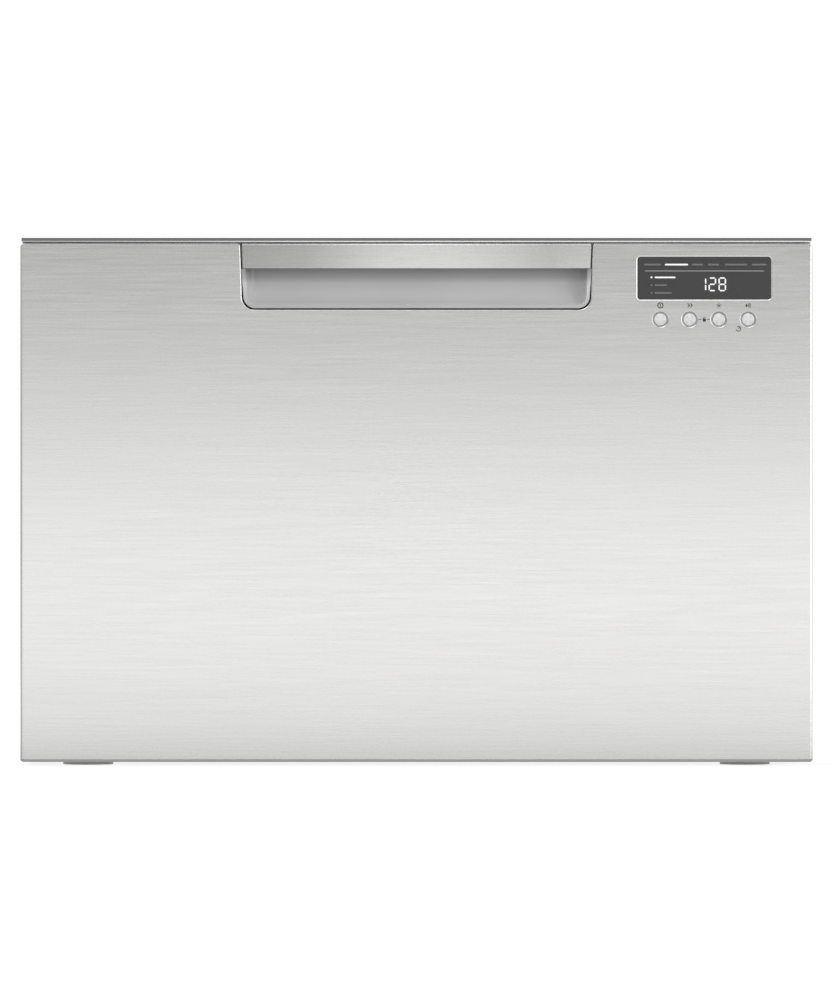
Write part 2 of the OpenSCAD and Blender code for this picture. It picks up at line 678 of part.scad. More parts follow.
module top_trim() color([0.55, 0.56, 0.57])
    along_x(-front_hw + trim_inset, front_hw - trim_inset) polygon(concat(
    [[front_rear_y, front_z1 - trim_h]], [[front_rear_y, front_z1]],
    arc(face_y + trim_setback + trim_edge_r, front_z1 - trim_edge_r, trim_edge_r, 90, 180, 4),
    [[face_y + trim_setback, front_z1 - trim_h], [tongue_y, front_z1 - trim_h],
     [tongue_y, sheet_z1], [tongue_y + tongue_t, sheet_z1],
     [tongue_y + tongue_t, front_z1 - trim_h]]));

bar_z1 = sheet_z1 - 0.4;
bar_z0 = bar_z1 - bar_h;
bar_hw = notch_top - notch_gap - 0.8;

module handle_bar() color([0.76, 0.76, 0.77]) {
    intersection() {
        block([-notch_top, face_y, bar_z0], [notch_top, face_y + bar_t, bar_z1]);
        along_y(face_y - 1, face_y + bar_t + 1) polygon(notch_outline(-notch_gap - 0.8, sheet_z1 + 1));
    }
    // folded back along the top to the cup's rear wall, and hemmed along the foot
    block([-bar_hw + 4, face_y + bar_t - 0.2, bar_z1 - bar_t], [bar_hw - 4, face_y + scoop_d, bar_z1]);
    block([-bar_hw + 4, face_y + bar_t - 0.2, bar_z0], [bar_hw - 4, face_y + bar_t + 3, bar_z0 + bar_t]);
}

scoop_rise = 19;
cup_setback = 1.2;
cup_grip = 4;
cup_rear = face_y + scoop_d + cup_t;
scoop_foot = notch_foot_z + notch_gap + cup_flange;

// The scoop: round in section, closed by the notch's own outline drawn in by the flange
module scoop() intersection() {
    along_x(-notch_top, notch_top) polygon(concat(
        [[face_y - 1, bar_z1 + 10], [face_y - 1, scoop_foot]],
        [for (a = [0 : 90 / 8 : 90]) [face_y + scoop_d * sin(a), scoop_foot + scoop_rise * (1 - cos(a))]],
        [[face_y + scoop_d, bar_z1 + 10]]));
    along_y(face_y - 2, cup_rear + 1) polygon(notch_outline(-notch_gap - cup_flange, sheet_z1 + 2));
}

module handle_cup() color([0.72, 0.72, 0.72]) difference() {
    union() {
        along_y(face_y + cup_setback, cup_rear) polygon(notch_outline(-notch_gap, bar_z1 - bar_t));
        // the flange behind the sheet that the cup is held by
        intersection() {
            along_y(face_y + front_sheet, face_y + front_sheet + cup_t)
                polygon(notch_outline(cup_grip, bar_z1 - bar_t));
            block([-200, face_y, notch_foot_z - cup_grip], [200, face_y + 10, sheet_z1 - front_sheet - seat]);
        }
    }
    difference() {
        scoop();
        block([-200, face_y, bar_z1], [200, rear_y, bar_z1 + 20]);
    }
    // seat for the bar across the cup's upper half
    along_y(face_y - 1, face_y + bar_t + seat) intersection() {
        polygon(notch_outline(1, sheet_z1 + 1));
        translate([-200, bar_z0 - seat]) square([400, bar_h + 20]);
    }
}

liner_t = 2;
liner_gap = 0.3;
liner_hw = front_hw - front_sheet - liner_gap;
liner_rib_hw = 270;
liner_rib_pitch = 65;
rib_t = 1.6;

module front_liner() color([0.30, 0.31, 0.33]) difference() {
    union() {
        block([-liner_hw, front_rear_y - liner_t, front_z0 + front_sheet + liner_gap],
              [liner_hw, front_rear_y, sheet_z1 - front_sheet - liner_gap]);
        for (x = [-4 * liner_rib_pitch : liner_rib_pitch : 2 * liner_rib_pitch])
            block([x - rib_t / 2, face_y + front_sheet + liner_gap, front_z0 + 12],
                  [x + rib_t / 2, front_rear_y - liner_t + 0.2, notch_foot_z - 14]);
        for (z = [front_z0 + 40 : 60 : notch_foot_z - 30])
            block([-liner_rib_hw, face_y + front_sheet + liner_gap, z - rib_t / 2],
                  [liner_rib_hw, front_rear_y - liner_t + 0.2, z + rib_t / 2]);
    }
    // room for the control housing
    block([control_x - housing_w / 2 - 1, face_y, housing_z0 - 1],
          [control_x + housing_w / 2 + 1, front_rear_y - liner_t, sheet_z1]);
}

// ---------------------------------------------------------------- controls

housing_w = 124;
housing_z0 = button_z - 13;
housing_z1 = min(lens_z + lens_h / 2 + 6, sheet_z1 - front_sheet - 1);
housing_y0 = face_y + front_sheet;
housing_y1 = front_rear_y - liner_t - seat;
housing_front_t = 2.2;
housing_wall = 1.8;
lens_flange = 1.8;
lens_t = 1.5;
board_y = housing_y0 + 9;
board_t = 1.6;
screen_w = 88;
screen_h = 24;
switch_w = 6;
switch_h = 2.4;
guide_gap = 0.25;
cap_flange = 1.6;
cap_flange_t = 1;
plunger_r = 1.5;

module display_lens() color([0.20, 0.20, 0.21]) translate([control_x, 0, lens_z]) {
    along_y(face_y + 0.5, face_y + front_sheet + 0.1) polygon(round_rect(lens_w, lens_h, lens_r - 0.3));
    along_y(housing_y0, housing_y0 + lens_t)
        polygon(round_rect(lens_w + 2 * lens_flange, lens_h + 2 * lens_flange, lens_r));
}

module control_housing() color([0.13, 0.13, 0.14]) difference() {
    block([control_x - housing_w / 2, housing_y0, housing_z0],
          [control_x + housing_w / 2, housing_y1, housing_z1]);
    block([control_x - housing_w / 2 + housing_wall, housing_y0 + housing_front_t, housing_z0 + housing_wall],
          [control_x + housing_w / 2 - housing_wall, housing_y1 + 1, housing_z1 - housing_wall]);
    translate([control_x, 0, lens_z]) along_y(housing_y0 - 1, housing_y0 + housing_front_t + 1)
        polygon(round_rect(lens_w + 2 * lens_flange + 2 * seat, lens_h + 2 * lens_flange + 2 * seat, lens_r));
    for (x = button_xs)
        rod_y(x, button_z, button_d / 2 + guide_gap, housing_y0 - 1, housing_y0 + housing_front_t + 1);
}

module display_board() {
    color([0.07, 0.28, 0.16])
        block([control_x - housing_w / 2 + housing_wall + seat, board_y, housing_z0 + housing_wall + seat],
              [control_x + housing_w / 2 - housing_wall - seat, board_y + board_t,
               housing_z1 - housing_wall - seat]);
    color([0.10, 0.10, 0.11])
        block([control_x - screen_w / 2, housing_y0 + lens_t + seat, lens_z - screen_h / 2],
              [control_x + screen_w / 2, board_y, lens_z + screen_h / 2]);
    for (x = button_xs) color([0.15, 0.15, 0.16]) {
        block([x - switch_w / 2, board_y - switch_h, button_z - switch_w / 2],
              [x + switch_w / 2, board_y, button_z + switch_w / 2]);
        rod_y(x, button_z, plunger_r, board_y - 3, board_y - 2);
    }
    // posts that seat the board on the housing's front wall
    for (s = [-1, 1]) color([0.15, 0.15, 0.16])
        rod_y(control_x + s * (housing_w / 2 - 6), button_z - 3, 2, housing_y0 + housing_front_t, board_y);
}

module button(i) color([0.86, 0.86, 0.87]) {
    x = button_xs[i];
    rod_y(x, button_z, button_d / 2, face_y + 0.2, housing_y0 + housing_front_t + 0.1);
    rod_y(x, button_z, button_d / 2 + cap_flange, housing_y0 + housing_front_t + 0.02,
          housing_y0 + housing_front_t + cap_flange_t);
    rod_y(x, button_z, plunger_r, housing_y0 + housing_front_t, board_y - 3 - button_travel - 0.1);
}

// ---------------------------------------------------------------- tub

boss_r = 10;
dispenser_x = 96;
dispenser_w = 168;
dispenser_h = 78;
dispenser_drop = 20;
dispenser_z0 = rim_z - dispenser_h - dispenser_drop;
dispenser_t = 18;

module tub() color([0.80, 0.81, 0.82]) difference() {
    union() {
        translate([0, (tub_y0 + tub_y1) / 2, tub_floor_z]) linear_extrude(rim_z - tub_floor_z)
            polygon(round_rect(2 * tub_hw, tub_y1 - tub_y0, tub_r));
        translate([0, (tub_y0 + rim_y1) / 2, rim_z - rim_t]) linear_extrude(rim_t)
            polygon(round_rect(2 * rim_hw, rim_y1 - tub_y0, 16));
        // square front corners and the bosses that carry the drawer front
        block([-tub_hw, tub_y0, tub_floor_z], [tub_hw, tub_y0 + tub_front_t, rim_z]);
        for (x = [-tub_hw + 22, tub_hw - 22], z = [tub_floor_z + 22, rim_z - 24])
            rod_y(x, z, boss_r, front_rear_y, tub_y0 + 1);
        for (x = [-1, 1]) rod_y(x * 90, tub_floor_z + 22, boss_r, front_rear_y, tub_y0 + 1);
    }
    translate([0, (tub_in_y0 + tub_in_y1) / 2, tub_floor_top]) linear_extrude(rim_z)
        polygon(round_rect(2 * tub_in_hw, tub_in_y1 - tub_in_y0, tub_r - tub_t));
    translate([0, wash_y, tub_floor_z - 1]) cylinder(r = sump_r, h = tub_t + 2);
    // window for the dispenser in the front wall
    block([dispenser_x - dispenser_w / 2 + 4, tub_y0 + 2, dispenser_z0 + 4],
          [dispenser_x + dispenser_w / 2 - 4, tub_in_y0 + 1, dispenser_z0 + dispenser_h - 4]);
}

// ---------------------------------------------------------------- sump, pump and filters

sump_wall = 3;
sump_flange = 14;
sump_z0 = tub_floor_z - sump_h;
pump_shaft_r = 5;
heater_wire_r = 4;
heater_leg_r = 4.8;
heater_z = sump_z0 + sump_wall + 9;
heater_leg_a = [200, 214];
heater_leg_out = 12;

module sump() color([0.36, 0.37, 0.39]) {
    difference() {
        union() {
            translate([0, wash_y, sump_z0]) cylinder(r = sump_r + sump_wall, h = sump_h);
            translate([0, wash_y, tub_floor_z - sump_wall]) cylinder(r = sump_r + sump_flange, h = sump_wall);
            rod_x(wash_y, hose_z, spigot_r, sump_r, spigot_end);
        }
        translate([0, wash_y, sump_z0 + sump_wall]) cylinder(r = sump_r, h = sump_h);
        translate([0, wash_y, sump_z0 - 1]) cylinder(r = pump_shaft_r + shaft_gap, h = sump_wall + 2);
        rod_x(wash_y, hose_z, spigot_r - 2.5, sump_r - 8, spigot_end + 1);
        for (a = heater_leg_a) translate([0, wash_y, 0]) rotate([0, 0, a])
            translate([heater_ring_r, 0, sump_z0 - 1]) cylinder(r = heater_leg_r + seat, h = sump_wall + 2);
    }
    for (a = [30, 150, 270]) translate([0, wash_y, 0]) rotate([0, 0, a])
        block([heater_ring_r - 4, -5, sump_z0 + sump_wall - 0.5],
              [heater_ring_r + 4, 5, heater_z - heater_wire_r - seat]);
}

module heater_element() color([0.52, 0.50, 0.48]) translate([0, wash_y, 0]) {
    translate([0, 0, heater_z]) rotate([0, 0, heater_leg_a[1]])
        rotate_extrude(angle = 360 - heater_leg_a[1] + heater_leg_a[0])
            translate([heater_ring_r, 0]) circle(r = heater_wire_r);
    for (a = heater_leg_a) rotate([0, 0, a]) translate([heater_ring_r, 0, sump_z0 - heater_leg_out])
        cylinder(r = heater_leg_r, h = heater_z + heater_leg_r - sump_z0 + heater_leg_out);
}

motor_h = 30;
rotor_r = 30;
motor_z0 = sump_z0 - motor_h;
motor_floor = 4;

module pump_motor() color([0.22, 0.22, 0.24]) translate([0, wash_y, motor_z0]) difference() {
    union() {
        cylinder(r = motor_r, h = motor_h);
        for (a = [45 : 90 : 315]) rotate([0, 0, a])
            translate([motor_r + 2, 0, motor_h - 6]) cylinder(r = 8, h = 6);
    }
    translate([0, 0, motor_floor]) cylinder(r = rotor_r + 2, h = motor_h - motor_floor - 3);
    translate([0, 0, 1.5]) cylinder(r = pump_shaft_r + shaft_gap, h = motor_h);
}

impeller_r = 44;
vane_count = 7;

module pump_rotor() color([0.85, 0.84, 0.78]) translate([0, wash_y, 0]) {
    translate([0, 0, motor_z0 + 1.6]) cylinder(r = pump_shaft_r, h = sump_z0 + 20 - motor_z0);
    translate([0, 0, motor_z0 + motor_floor + 2]) cylinder(r = rotor_r, h = motor_h - motor_floor - 7);
    translate([0, 0, sump_z0 + sump_wall + 3]) {
        cylinder(r = impeller_r, h = 2.5);
        cylinder(r = 10, h = 14);
        for (i = [0 : vane_count - 1]) rotate([0, 0, i * 360 / vane_count]) translate([8, 0, 0])
            rotate([0, 0, 22]) translate([0, -1, 0]) cube([32, 2, 9]);
    }
}

plate_t = 2.5;
filter_top = tub_floor_top + plate_t;
post_r = 15;
post_bore_r = 11;
arm_z = tub_floor_top + arm_lift;
post_top = arm_z + arm_h + 4;
cup_r = 10.7;
cup_ring_r = 64;
cup_a = 45;
cup_h = 18;

module filter_plate() color([0.46, 0.47, 0.49]) translate([0, wash_y, 0]) difference() {
    union() {
        translate([0, 0, tub_floor_top]) cylinder(r = filter_r, h = plate_t);
        translate([0, 0, tub_floor_top - 7]) cylinder(r = post_r, h = post_top - tub_floor_top + 7);
        translate([0, 0, filter_top - 0.5]) cylinder(r = post_r + 4, h = arm_z - filter_top - seat + 0.5);
    }
    translate([0, 0, tub_floor_top - 8]) cylinder(r = post_bore_r, h = post_top);
    rotate([0, 0, cup_a]) translate([cup_ring_r, 0, tub_floor_top - 1])
        cylinder(r = cup_r + seat, h = plate_t + 2);
    for (i = [0 : 23]) rotate([0, 0, i * 15]) block([25, -1, tub_floor_top - 1], [44, 1, filter_top + 1]);
    for (i = [0 : 44]) rotate([0, 0, i * 8])
        block([84, -1.2, tub_floor_top - 1], [sump_r - 1, 1.2, filter_top + 1]);
}

module drain_filter() color([0.62, 0.63, 0.65]) translate([0, wash_y, 0]) rotate([0, 0, cup_a])
    translate([cup_ring_r, 0, filter_top]) {
        difference() {
            union() {
                cylinder(r = cup_r + 4, h = 2);
                translate([0, 0, -cup_h]) cylinder(r = cup_r, h = cup_h + 1);
            }
            translate([0, 0, -cup_h + 1.5]) cylinder(r = cup_r - 1.6, h = cup_h + 2);
            for (i = [0 : 7]) rotate([0, 0, i * 45 + 22.5])
                block([cup_r - 3, -1.2, -cup_h + 4], [cup_r + 1, 1.2, -4]);
        }
        block([-cup_r, -1.2, 0], [cup_r, 1.2, 5.5]);
    }

arm_root = 21;
arm_tip = 13;
arm_wall = 2;
hub_r = 24;
nozzle_r = 4;
nozzle_count = 5;
nozzle_first = 48;
nozzle_last = arm_reach - 20;
nozzle_xs = [for (i = [0 : nozzle_count - 1])
    nozzle_first + i * (nozzle_last - nozzle_first) / (nozzle_count - 1)];

// Half of the arm's outline, narrowing to a round tip, drawn in by g
function arm_half(g) = concat([[0, -arm_root + g]],
    arc(arm_reach - arm_tip, 0, arm_tip - g, -90, 90, 8), [[0, arm_root - g]]);

module spray_arm() color([0.74, 0.75, 0.77]) translate([0, wash_y, arm_z]) difference() {
    union() {
        for (a = [0, 180]) rotate([0, 0, a]) linear_extrude(arm_h) polygon(arm_half(0));
        cylinder(r = hub_r, h = arm_h);
        for (a = [0, 180], x = nozzle_xs) rotate([0, 0, a])
            translate([x, nozzle_r, 0]) cylinder(r = nozzle_r, h = arm_h + 1.2);
    }
    for (a = [0, 180]) rotate([0, 0, a]) translate([0, 0, arm_wall]) linear_extrude(arm_h - 2 * arm_wall)
        polygon(arm_half(arm_wall));
    translate([0, 0, -1]) cylinder(r = post_r + shaft_gap, h = arm_h + 3);
    for (a = [0, 180], x = nozzle_xs) rotate([0, 0, a]) translate([x, nozzle_r, arm_h - arm_wall - 1])
        cylinder(r = 1.8, h = arm_wall + 4);
}

module spray_arm_clip() color([0.30, 0.31, 0.33]) translate([0, wash_y, arm_z + arm_h + seat]) difference() {
    cylinder(r = post_r + 4, h = 3.4);
    translate([0, 0, -1]) cylinder(r = post_r, h = 5);
}

// ---------------------------------------------------------------- detergent dispenser

cup_cell_w = 62;
cup_cell_h = 44;
cup_cell_x = dispenser_x - 34;
cup_cell_z = dispenser_z0 + dispenser_h / 2 + 4;
dispenser_y1 = tub_in_y0 + dispenser_t - tub_front_t + 2;
dispenser_y0 = tub_y0 + 2 + seat;
hinge_r = 1.6;
door_hinge_z = cup_cell_z - cup_cell_h / 2 - 7;
door_hinge_y = dispenser_y1 + 3.4;
rinse_x = dispenser_x + 46;
rinse_r = 15;

module dispenser_body() color([0.66, 0.67, 0.69]) difference() {
    union() {
        translate([dispenser_x, 0, dispenser_z0 + dispenser_h / 2]) along_y(tub_in_y0, dispenser_y1)
            polygon(round_rect(dispenser_w, dispenser_h, 10));
        translate([dispenser_x, 0, dispenser_z0 + dispenser_h / 2]) along_y(dispenser_y0, tub_in_y0 + 0.1)
            polygon(round_rect(dispenser_w - 8 - 2 * seat, dispenser_h - 8 - 2 * seat, 2));
        // ears of the door's hinge
        for (x = [-1, 1]) translate([cup_cell_x + x * (cup_cell_w / 2 - 2), 0, 0])
            block([-2.5, dispenser_y1 - 0.5, door_hinge_z - 3], [2.5, door_hinge_y + 3, door_hinge_z + 3]);
    }
    translate([cup_cell_x, 0, cup_cell_z]) along_y(dispenser_y0 + 1.5, dispenser_y1 + 1)
        polygon(round_rect(cup_cell_w, cup_cell_h, 6));
    rod_x(door_hinge_y, door_hinge_z, hinge_r + shaft_gap, cup_cell_x - cup_cell_w, cup_cell_x + cup_cell_w);
    rod_y(rinse_x, cup_cell_z, rinse_r - 3, dispenser_y1 - 9, dispenser_y1 + 1);
}

door_t = 2.4;
knuckle_in = 4.8;
pin_hl = cup_cell_w / 2 + 0.4;

module dispenser_door() color([0.56, 0.57, 0.60]) {
    translate([cup_cell_x, 0, cup_cell_z]) along_y(dispenser_y1 + seat, dispenser_y1 + seat + door_t)
        polygon(round_rect(cup_cell_w + 8, cup_cell_h + 5, 6));
    block([cup_cell_x - cup_cell_w / 2 + knuckle_in, door_hinge_y - 1.2, door_hinge_z],
          [cup_cell_x + cup_cell_w / 2 - knuckle_in, door_hinge_y + 1.2, cup_cell_z - cup_cell_h / 2 + 2]);
    block([cup_cell_x - cup_cell_w / 2 + knuckle_in, dispenser_y1 + seat, cup_cell_z - cup_cell_h / 2 - 1],
          [cup_cell_x + cup_cell_w / 2 - knuckle_in, door_hinge_y + 1.2, cup_cell_z - cup_cell_h / 2 + 2]);
    rod_x(door_hinge_y, door_hinge_z, hinge_r + 1.2,
          cup_cell_x - cup_cell_w / 2 + knuckle_in, cup_cell_x + cup_cell_w / 2 - knuckle_in);
    rod_x(door_hinge_y, door_hinge_z, hinge_r, cup_cell_x - pin_hl, cup_cell_x + pin_hl);
}

module rinse_aid_cap() color([0.35, 0.42, 0.50]) {
    rod_y(rinse_x, cup_cell_z, rinse_r - 3 - shaft_gap, dispenser_y1 - 8, dispenser_y1 + 1);
    rod_y(rinse_x, cup_cell_z, rinse_r, dispenser_y1 + seat, dispenser_y1 + 4);
    block([rinse_x - rinse_r + 3, dispenser_y1 + 3, cup_cell_z - 1.6],
          [rinse_x + rinse_r - 3, dispenser_y1 + 8, cup_cell_z + 1.6]);
}

// ---------------------------------------------------------------- racks

rack_hw = tub_in_hw - rack_gap;
rack_y0 = tub_in_y0 + rack_gap;
rack_y1 = tub_in_y1 - rack_gap;
rack_z = tub_floor_top + rack_lift;
layer = wire - 0.5;
rack_floor_top = rack_z + layer + wire / 2;
grid_nx = 15;
grid_ny = 13;
rack_top_z = rack_z + rack_wall_h;
hinge_z = rack_z + shelf_h;
eye_in = 90;
eye_ys = [rack_y0 + eye_in, rack_y1 - eye_in];

// Eight-sided wires between two points that lie along one axis
module wire_x(x0, x1, y, z, w = wire) translate([x0, y, z]) rotate([0, 90, 0]) rotate([0, 0, 22.5])
    cylinder(r = w / 2 / cos(22.5), h = x1 - x0, $fn = 8);
module wire_y(y0, y1, x, z, w = wire) translate([x, y1, z]) rotate([90, 0, 0]) rotate([0, 0, 22.5])
    cylinder(r = w / 2 / cos(22.5), h = y1 - y0, $fn = 8);
module wire_z(z0, z1, x, y, w = wire) translate([x, y, z0]) rotate([0, 0, 22.5])
    cylinder(r = w / 2 / cos(22.5), h = z1 - z0, $fn = 8);

// Places of the floor's wires, and the hairline that parts the rack's welded pieces
function grid_x(i) = -rack_hw + i * 2 * rack_hw / (grid_nx - 1);
function grid_y(i) = rack_y0 + i * (rack_y1 - rack_y0) / (grid_ny - 1);
weld_gap = 0.05;
joint = wire / 2 + weld_gap;
hoop_zs = [rack_z + rack_wall_h / 2, rack_top_z];
leg_in = 22;

module rack_floor() {
    for (i = [1 : grid_ny - 2]) wire_x(-rack_hw + joint, rack_hw - joint, grid_y(i), rack_z);
    for (i = [1 : grid_nx - 2]) wire_y(rack_y0 + joint, rack_y1 - joint, grid_x(i), rack_z + layer);
}

module rack_end_wall(y) {
    for (z = concat([rack_z], hoop_zs)) wire_x(-rack_hw - wire / 2, rack_hw + wire / 2, y, z);
    for (i = [0 : grid_nx - 1]) wire_z(rack_z, rack_top_z, grid_x(i), y);
}

module rack_side_wall() {
    for (z = concat([rack_z + layer], hoop_zs)) wire_y(rack_y0 + joint, rack_y1 - joint, rack_hw, z);
    for (i = [1 : grid_ny - 2]) wire_z(rack_z - wire / 2, rack_top_z, rack_hw, grid_y(i));
}

// Post inside the side wall, with the eye and the rest of a cup shelf
module shelf_post(y) {
    wire_z(rack_z + layer - wire / 2, hinge_z - 4, rack_hw - wire - weld_gap, y);
    difference() {
        union() {
            block([rack_hw - 6, y - 4, hinge_z - 7], [rack_hw + 6, y + 4, hinge_z + 5]);
            block([rack_hw - shelf_reach / 3 - 4, y - 2, hinge_z - 7],
                  [rack_hw, y + 2, hinge_z - 1 - shelf_wire / 2 - seat]);
        }
        rod_y(rack_hw, hinge_z, wire / 2 + shaft_gap, y - 5, y + 5);
    }
}

module base_rack() color([0.50, 0.51, 0.53]) {
    rack_floor();
    for (y = [rack_y0, rack_y1]) rack_end_wall(y);
    for (s = [-1, 1]) right_or_left(s) {
        rack_side_wall();
        for (y = eye_ys) shelf_post(y);
        // legs on the tub floor, outside the reach of the spray arm
        for (y = [rack_y0, rack_y1]) wire_z(tub_floor_top + 0.1, rack_z - joint, rack_hw - leg_in, y);
    }
}

tine_step = 30;
tine_x0 = -rack_hw + 15;
tine_count = 11;
row_z = rack_floor_top + tine / 2;
row_count = floor((rack_y1 - rack_y0 - 50) / tine_pitch);

module plate_tines() color([0.52, 0.53, 0.55]) for (r = [0 : row_count - 1]) {
    y = rack_y0 + 25 + r * tine_pitch;
    wire_x(tine_x0 - 6, tine_x0 + (tine_count - 1) * tine_step + 6, y, row_z, tine);
    for (i = [0 : tine_count - 1]) wire_z(row_z, row_z + tine_h, tine_x0 + i * tine_step, y, tine);
}

shelf_wire = 3;
shelf_wires = 8;
shelf_in = 12;
shelf_rod_over = 14;
shelf_rail_over = 8;

module cup_rack(side) color([0.50, 0.51, 0.53]) right_or_left(side) {
    rod_y(rack_hw, hinge_z, wire / 2, eye_ys[0] - shelf_rod_over, eye_ys[1] + shelf_rod_over);
    y0 = eye_ys[0] + shelf_in;
    y1 = eye_ys[1] - shelf_in;
    for (i = [0 : shelf_wires])
        wire_x(rack_hw - shelf_reach, rack_hw, y0 + i * (y1 - y0) / shelf_wires, hinge_z, shelf_wire);
    for (x = [rack_hw - shelf_reach, rack_hw - shelf_reach * 2 / 3, rack_hw - shelf_reach / 3])
        wire_y(eye_ys[0] - shelf_rail_over, eye_ys[1] + shelf_rail_over, x, hinge_z - 1, shelf_wire);
}

basket_w = 104;
basket_d = 150;
basket_h = 108;
basket_t = 2;
grip_w = 56;
grip_h = 22;
grip_post = 10;
basket_nx = 2;
basket_ny = 3;
basket_in = 14;
slot_w = 5;
slot_pitch = 11;
slot_foot = 12;
slot_head = 26;
basket_x = rack_hw - basket_in - basket_w / 2;
basket_y = rack_y1 - basket_in - basket_d / 2;

module cutlery_basket() color([0.34, 0.35, 0.37]) translate([basket_x, basket_y, rack_floor_top]) {
    cell_w = (basket_w - (basket_nx + 1) * basket_t) / basket_nx;
    cell_d = (basket_d - (basket_ny + 1) * basket_t) / basket_ny;
    difference() {
        block([-basket_w / 2, -basket_d / 2, 0], [basket_w / 2, basket_d / 2, basket_h]);
        for (i = [0 : basket_nx - 1], j = [0 : basket_ny - 1])
            translate([-basket_w / 2 + basket_t + i * (cell_w + basket_t),
                       -basket_d / 2 + basket_t + j * (cell_d + basket_t), basket_t])
                cube([cell_w, cell_d, basket_h]);
        // drain slots in the walls and the floor
        for (j = [0 : basket_ny - 1], k = [0 : 3]) {
            y = -basket_d / 2 + basket_t + j * (cell_d + basket_t) + slot_w + k * slot_pitch;
            block([-basket_w, y, slot_foot], [basket_w, y + slot_w, basket_h - slot_head]);
        }
    }
    // the middle wall rises into a carrying handle
    difference() {
        block([-0.75 * basket_t, -grip_w / 2 - grip_post, basket_h - 12],
              [0.75 * basket_t, grip_w / 2 + grip_post, basket_h + grip_h]);
        block([-basket_t, -grip_w / 2, basket_h + 2], [basket_t, grip_w / 2, basket_h + grip_h - 7]);
    }
}

// ---------------------------------------------------------------- electronics and fan under the tub

controller_w = 170;
controller_d = 84;
controller_h = 44;
controller_x = -150;
under_y = tub_y0 + 14;

module controller_box() color([0.78, 0.78, 0.76]) {
    block([controller_x - controller_w / 2, under_y, tub_floor_z - controller_h],
          [controller_x + controller_w / 2, under_y + controller_d, tub_floor_z - 4]);
    block([controller_x - controller_w / 2 - 6, under_y, tub_floor_z - 4],
          [controller_x + controller_w / 2 + 6, under_y + controller_d, tub_floor_z]);
    for (i = [-2 : 2])
        block([controller_x + i * 26 - 9, under_y + controller_d - 1, tub_floor_z - controller_h + 8],
              [controller_x + i * 26 + 9, under_y + controller_d + 5, tub_floor_z - 14]);
}

fan_x = 150;
fan_in = 46;
fan_y = under_y + fan_in;
fan_r = 38;
fan_h = 30;
fan_wall = 2;
fan_shaft_r = 2.5;
fan_inlet_r = 20;
duct_l = 60;
duct_side = 4;
fan_z0 = tub_floor_z - fan_h - 6;

module fan_housing() color([0.26, 0.27, 0.29]) difference() {
    union() {
        translate([fan_x, fan_y, fan_z0]) cylinder(r = fan_r + fan_wall, h = fan_h + 6);
        block([fan_x, fan_y - fan_r - fan_wall, fan_z0], [fan_x + duct_l, fan_y - duct_side, tub_floor_z]);
    }
    translate([fan_x, fan_y, fan_z0 + fan_wall]) cylinder(r = fan_r, h = fan_h);
    block([fan_x, fan_y - fan_r, fan_z0 + fan_wall],
          [fan_x + duct_l + 1, fan_y - duct_side - fan_wall, fan_z0 + fan_wall + fan_h]);
    translate([fan_x, fan_y, fan_z0 - 1]) cylinder(r = fan_inlet_r, h = 2 * fan_wall);
    translate([fan_x, fan_y, fan_z0]) cylinder(r = fan_shaft_r + shaft_gap, h = fan_h + 4.5);
}

module fan_wheel() color([0.12, 0.12, 0.13]) translate([fan_x, fan_y, fan_z0 + fan_wall + 3]) {
    cylinder(r = fan_shaft_r, h = fan_h - 1);
    difference() {
        cylinder(r = fan_r - 5, h = fan_h - 7);
        translate([0, 0, -1]) cylinder(r = fan_r - 13, h = fan_h - 8);
        for (i = [0 : 17]) rotate([0, 0, i * 20]) translate([fan_r - 9, 0, -1]) rotate([0, 0, 35])
            block([-7, -1.6, 0], [7, 1.6, fan_h - 9]);
    }
    cylinder(r = 8, h = fan_h - 7);
}

side_panel(-1);  // side_panel_left
side_panel(1);  // side_panel_right
back_panel();
base_pan();
top_cover();
front_brace();
opening_seal();
slide_outer(-1);  // slide_outer_left
slide_outer(1);  // slide_outer_right
lid_motors();
inlet_valve();
drain_connector();
terminal_box();
drain_hose();
chassis_screws();
foot(-foot_x, foot_ys[0]);  // foot_front_left
foot(foot_x, foot_ys[0]);  // foot_front_right
foot(-foot_x, foot_ys[1]);  // foot_rear_left
foot(foot_x, foot_ys[1]);  // foot_rear_right
slide_middle(-1);  // slide_middle_left
slide_middle(1);  // slide_middle_right
lid();
lid_seal();
lid_pinion(-1);  // lid_pinion_left
lid_pinion(1);  // lid_pinion_right
front_panel();
top_trim();
handle_bar();
handle_cup();
front_liner();
display_lens();
display_board();
control_housing();
slide_inner(-1);  // slide_inner_left
slide_inner(1);  // slide_inner_right
slide_brackets();
tub();
sump();
filter_plate();
drain_filter();
heater_element();
pump_motor();
spray_arm_clip();
dispenser_body();
base_rack();
plate_tines();
cutlery_basket();
controller_box();
fan_housing();
button(0);  // button_power
button(1);  // button_select
button(2);  // button_option
button(3);  // button_start
pump_rotor();
spray_arm();
fan_wheel();
dispenser_door();
rinse_aid_cap();
cup_rack(-1);  // cup_rack_left
cup_rack(1);  // cup_rack_right
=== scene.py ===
"""Looks of the dishwasher drawer: steel front, handle, controls, tub, racks and chassis, round its frame."""
import json
import math

import bmesh
import bpy
from mathutils import Matrix, Vector


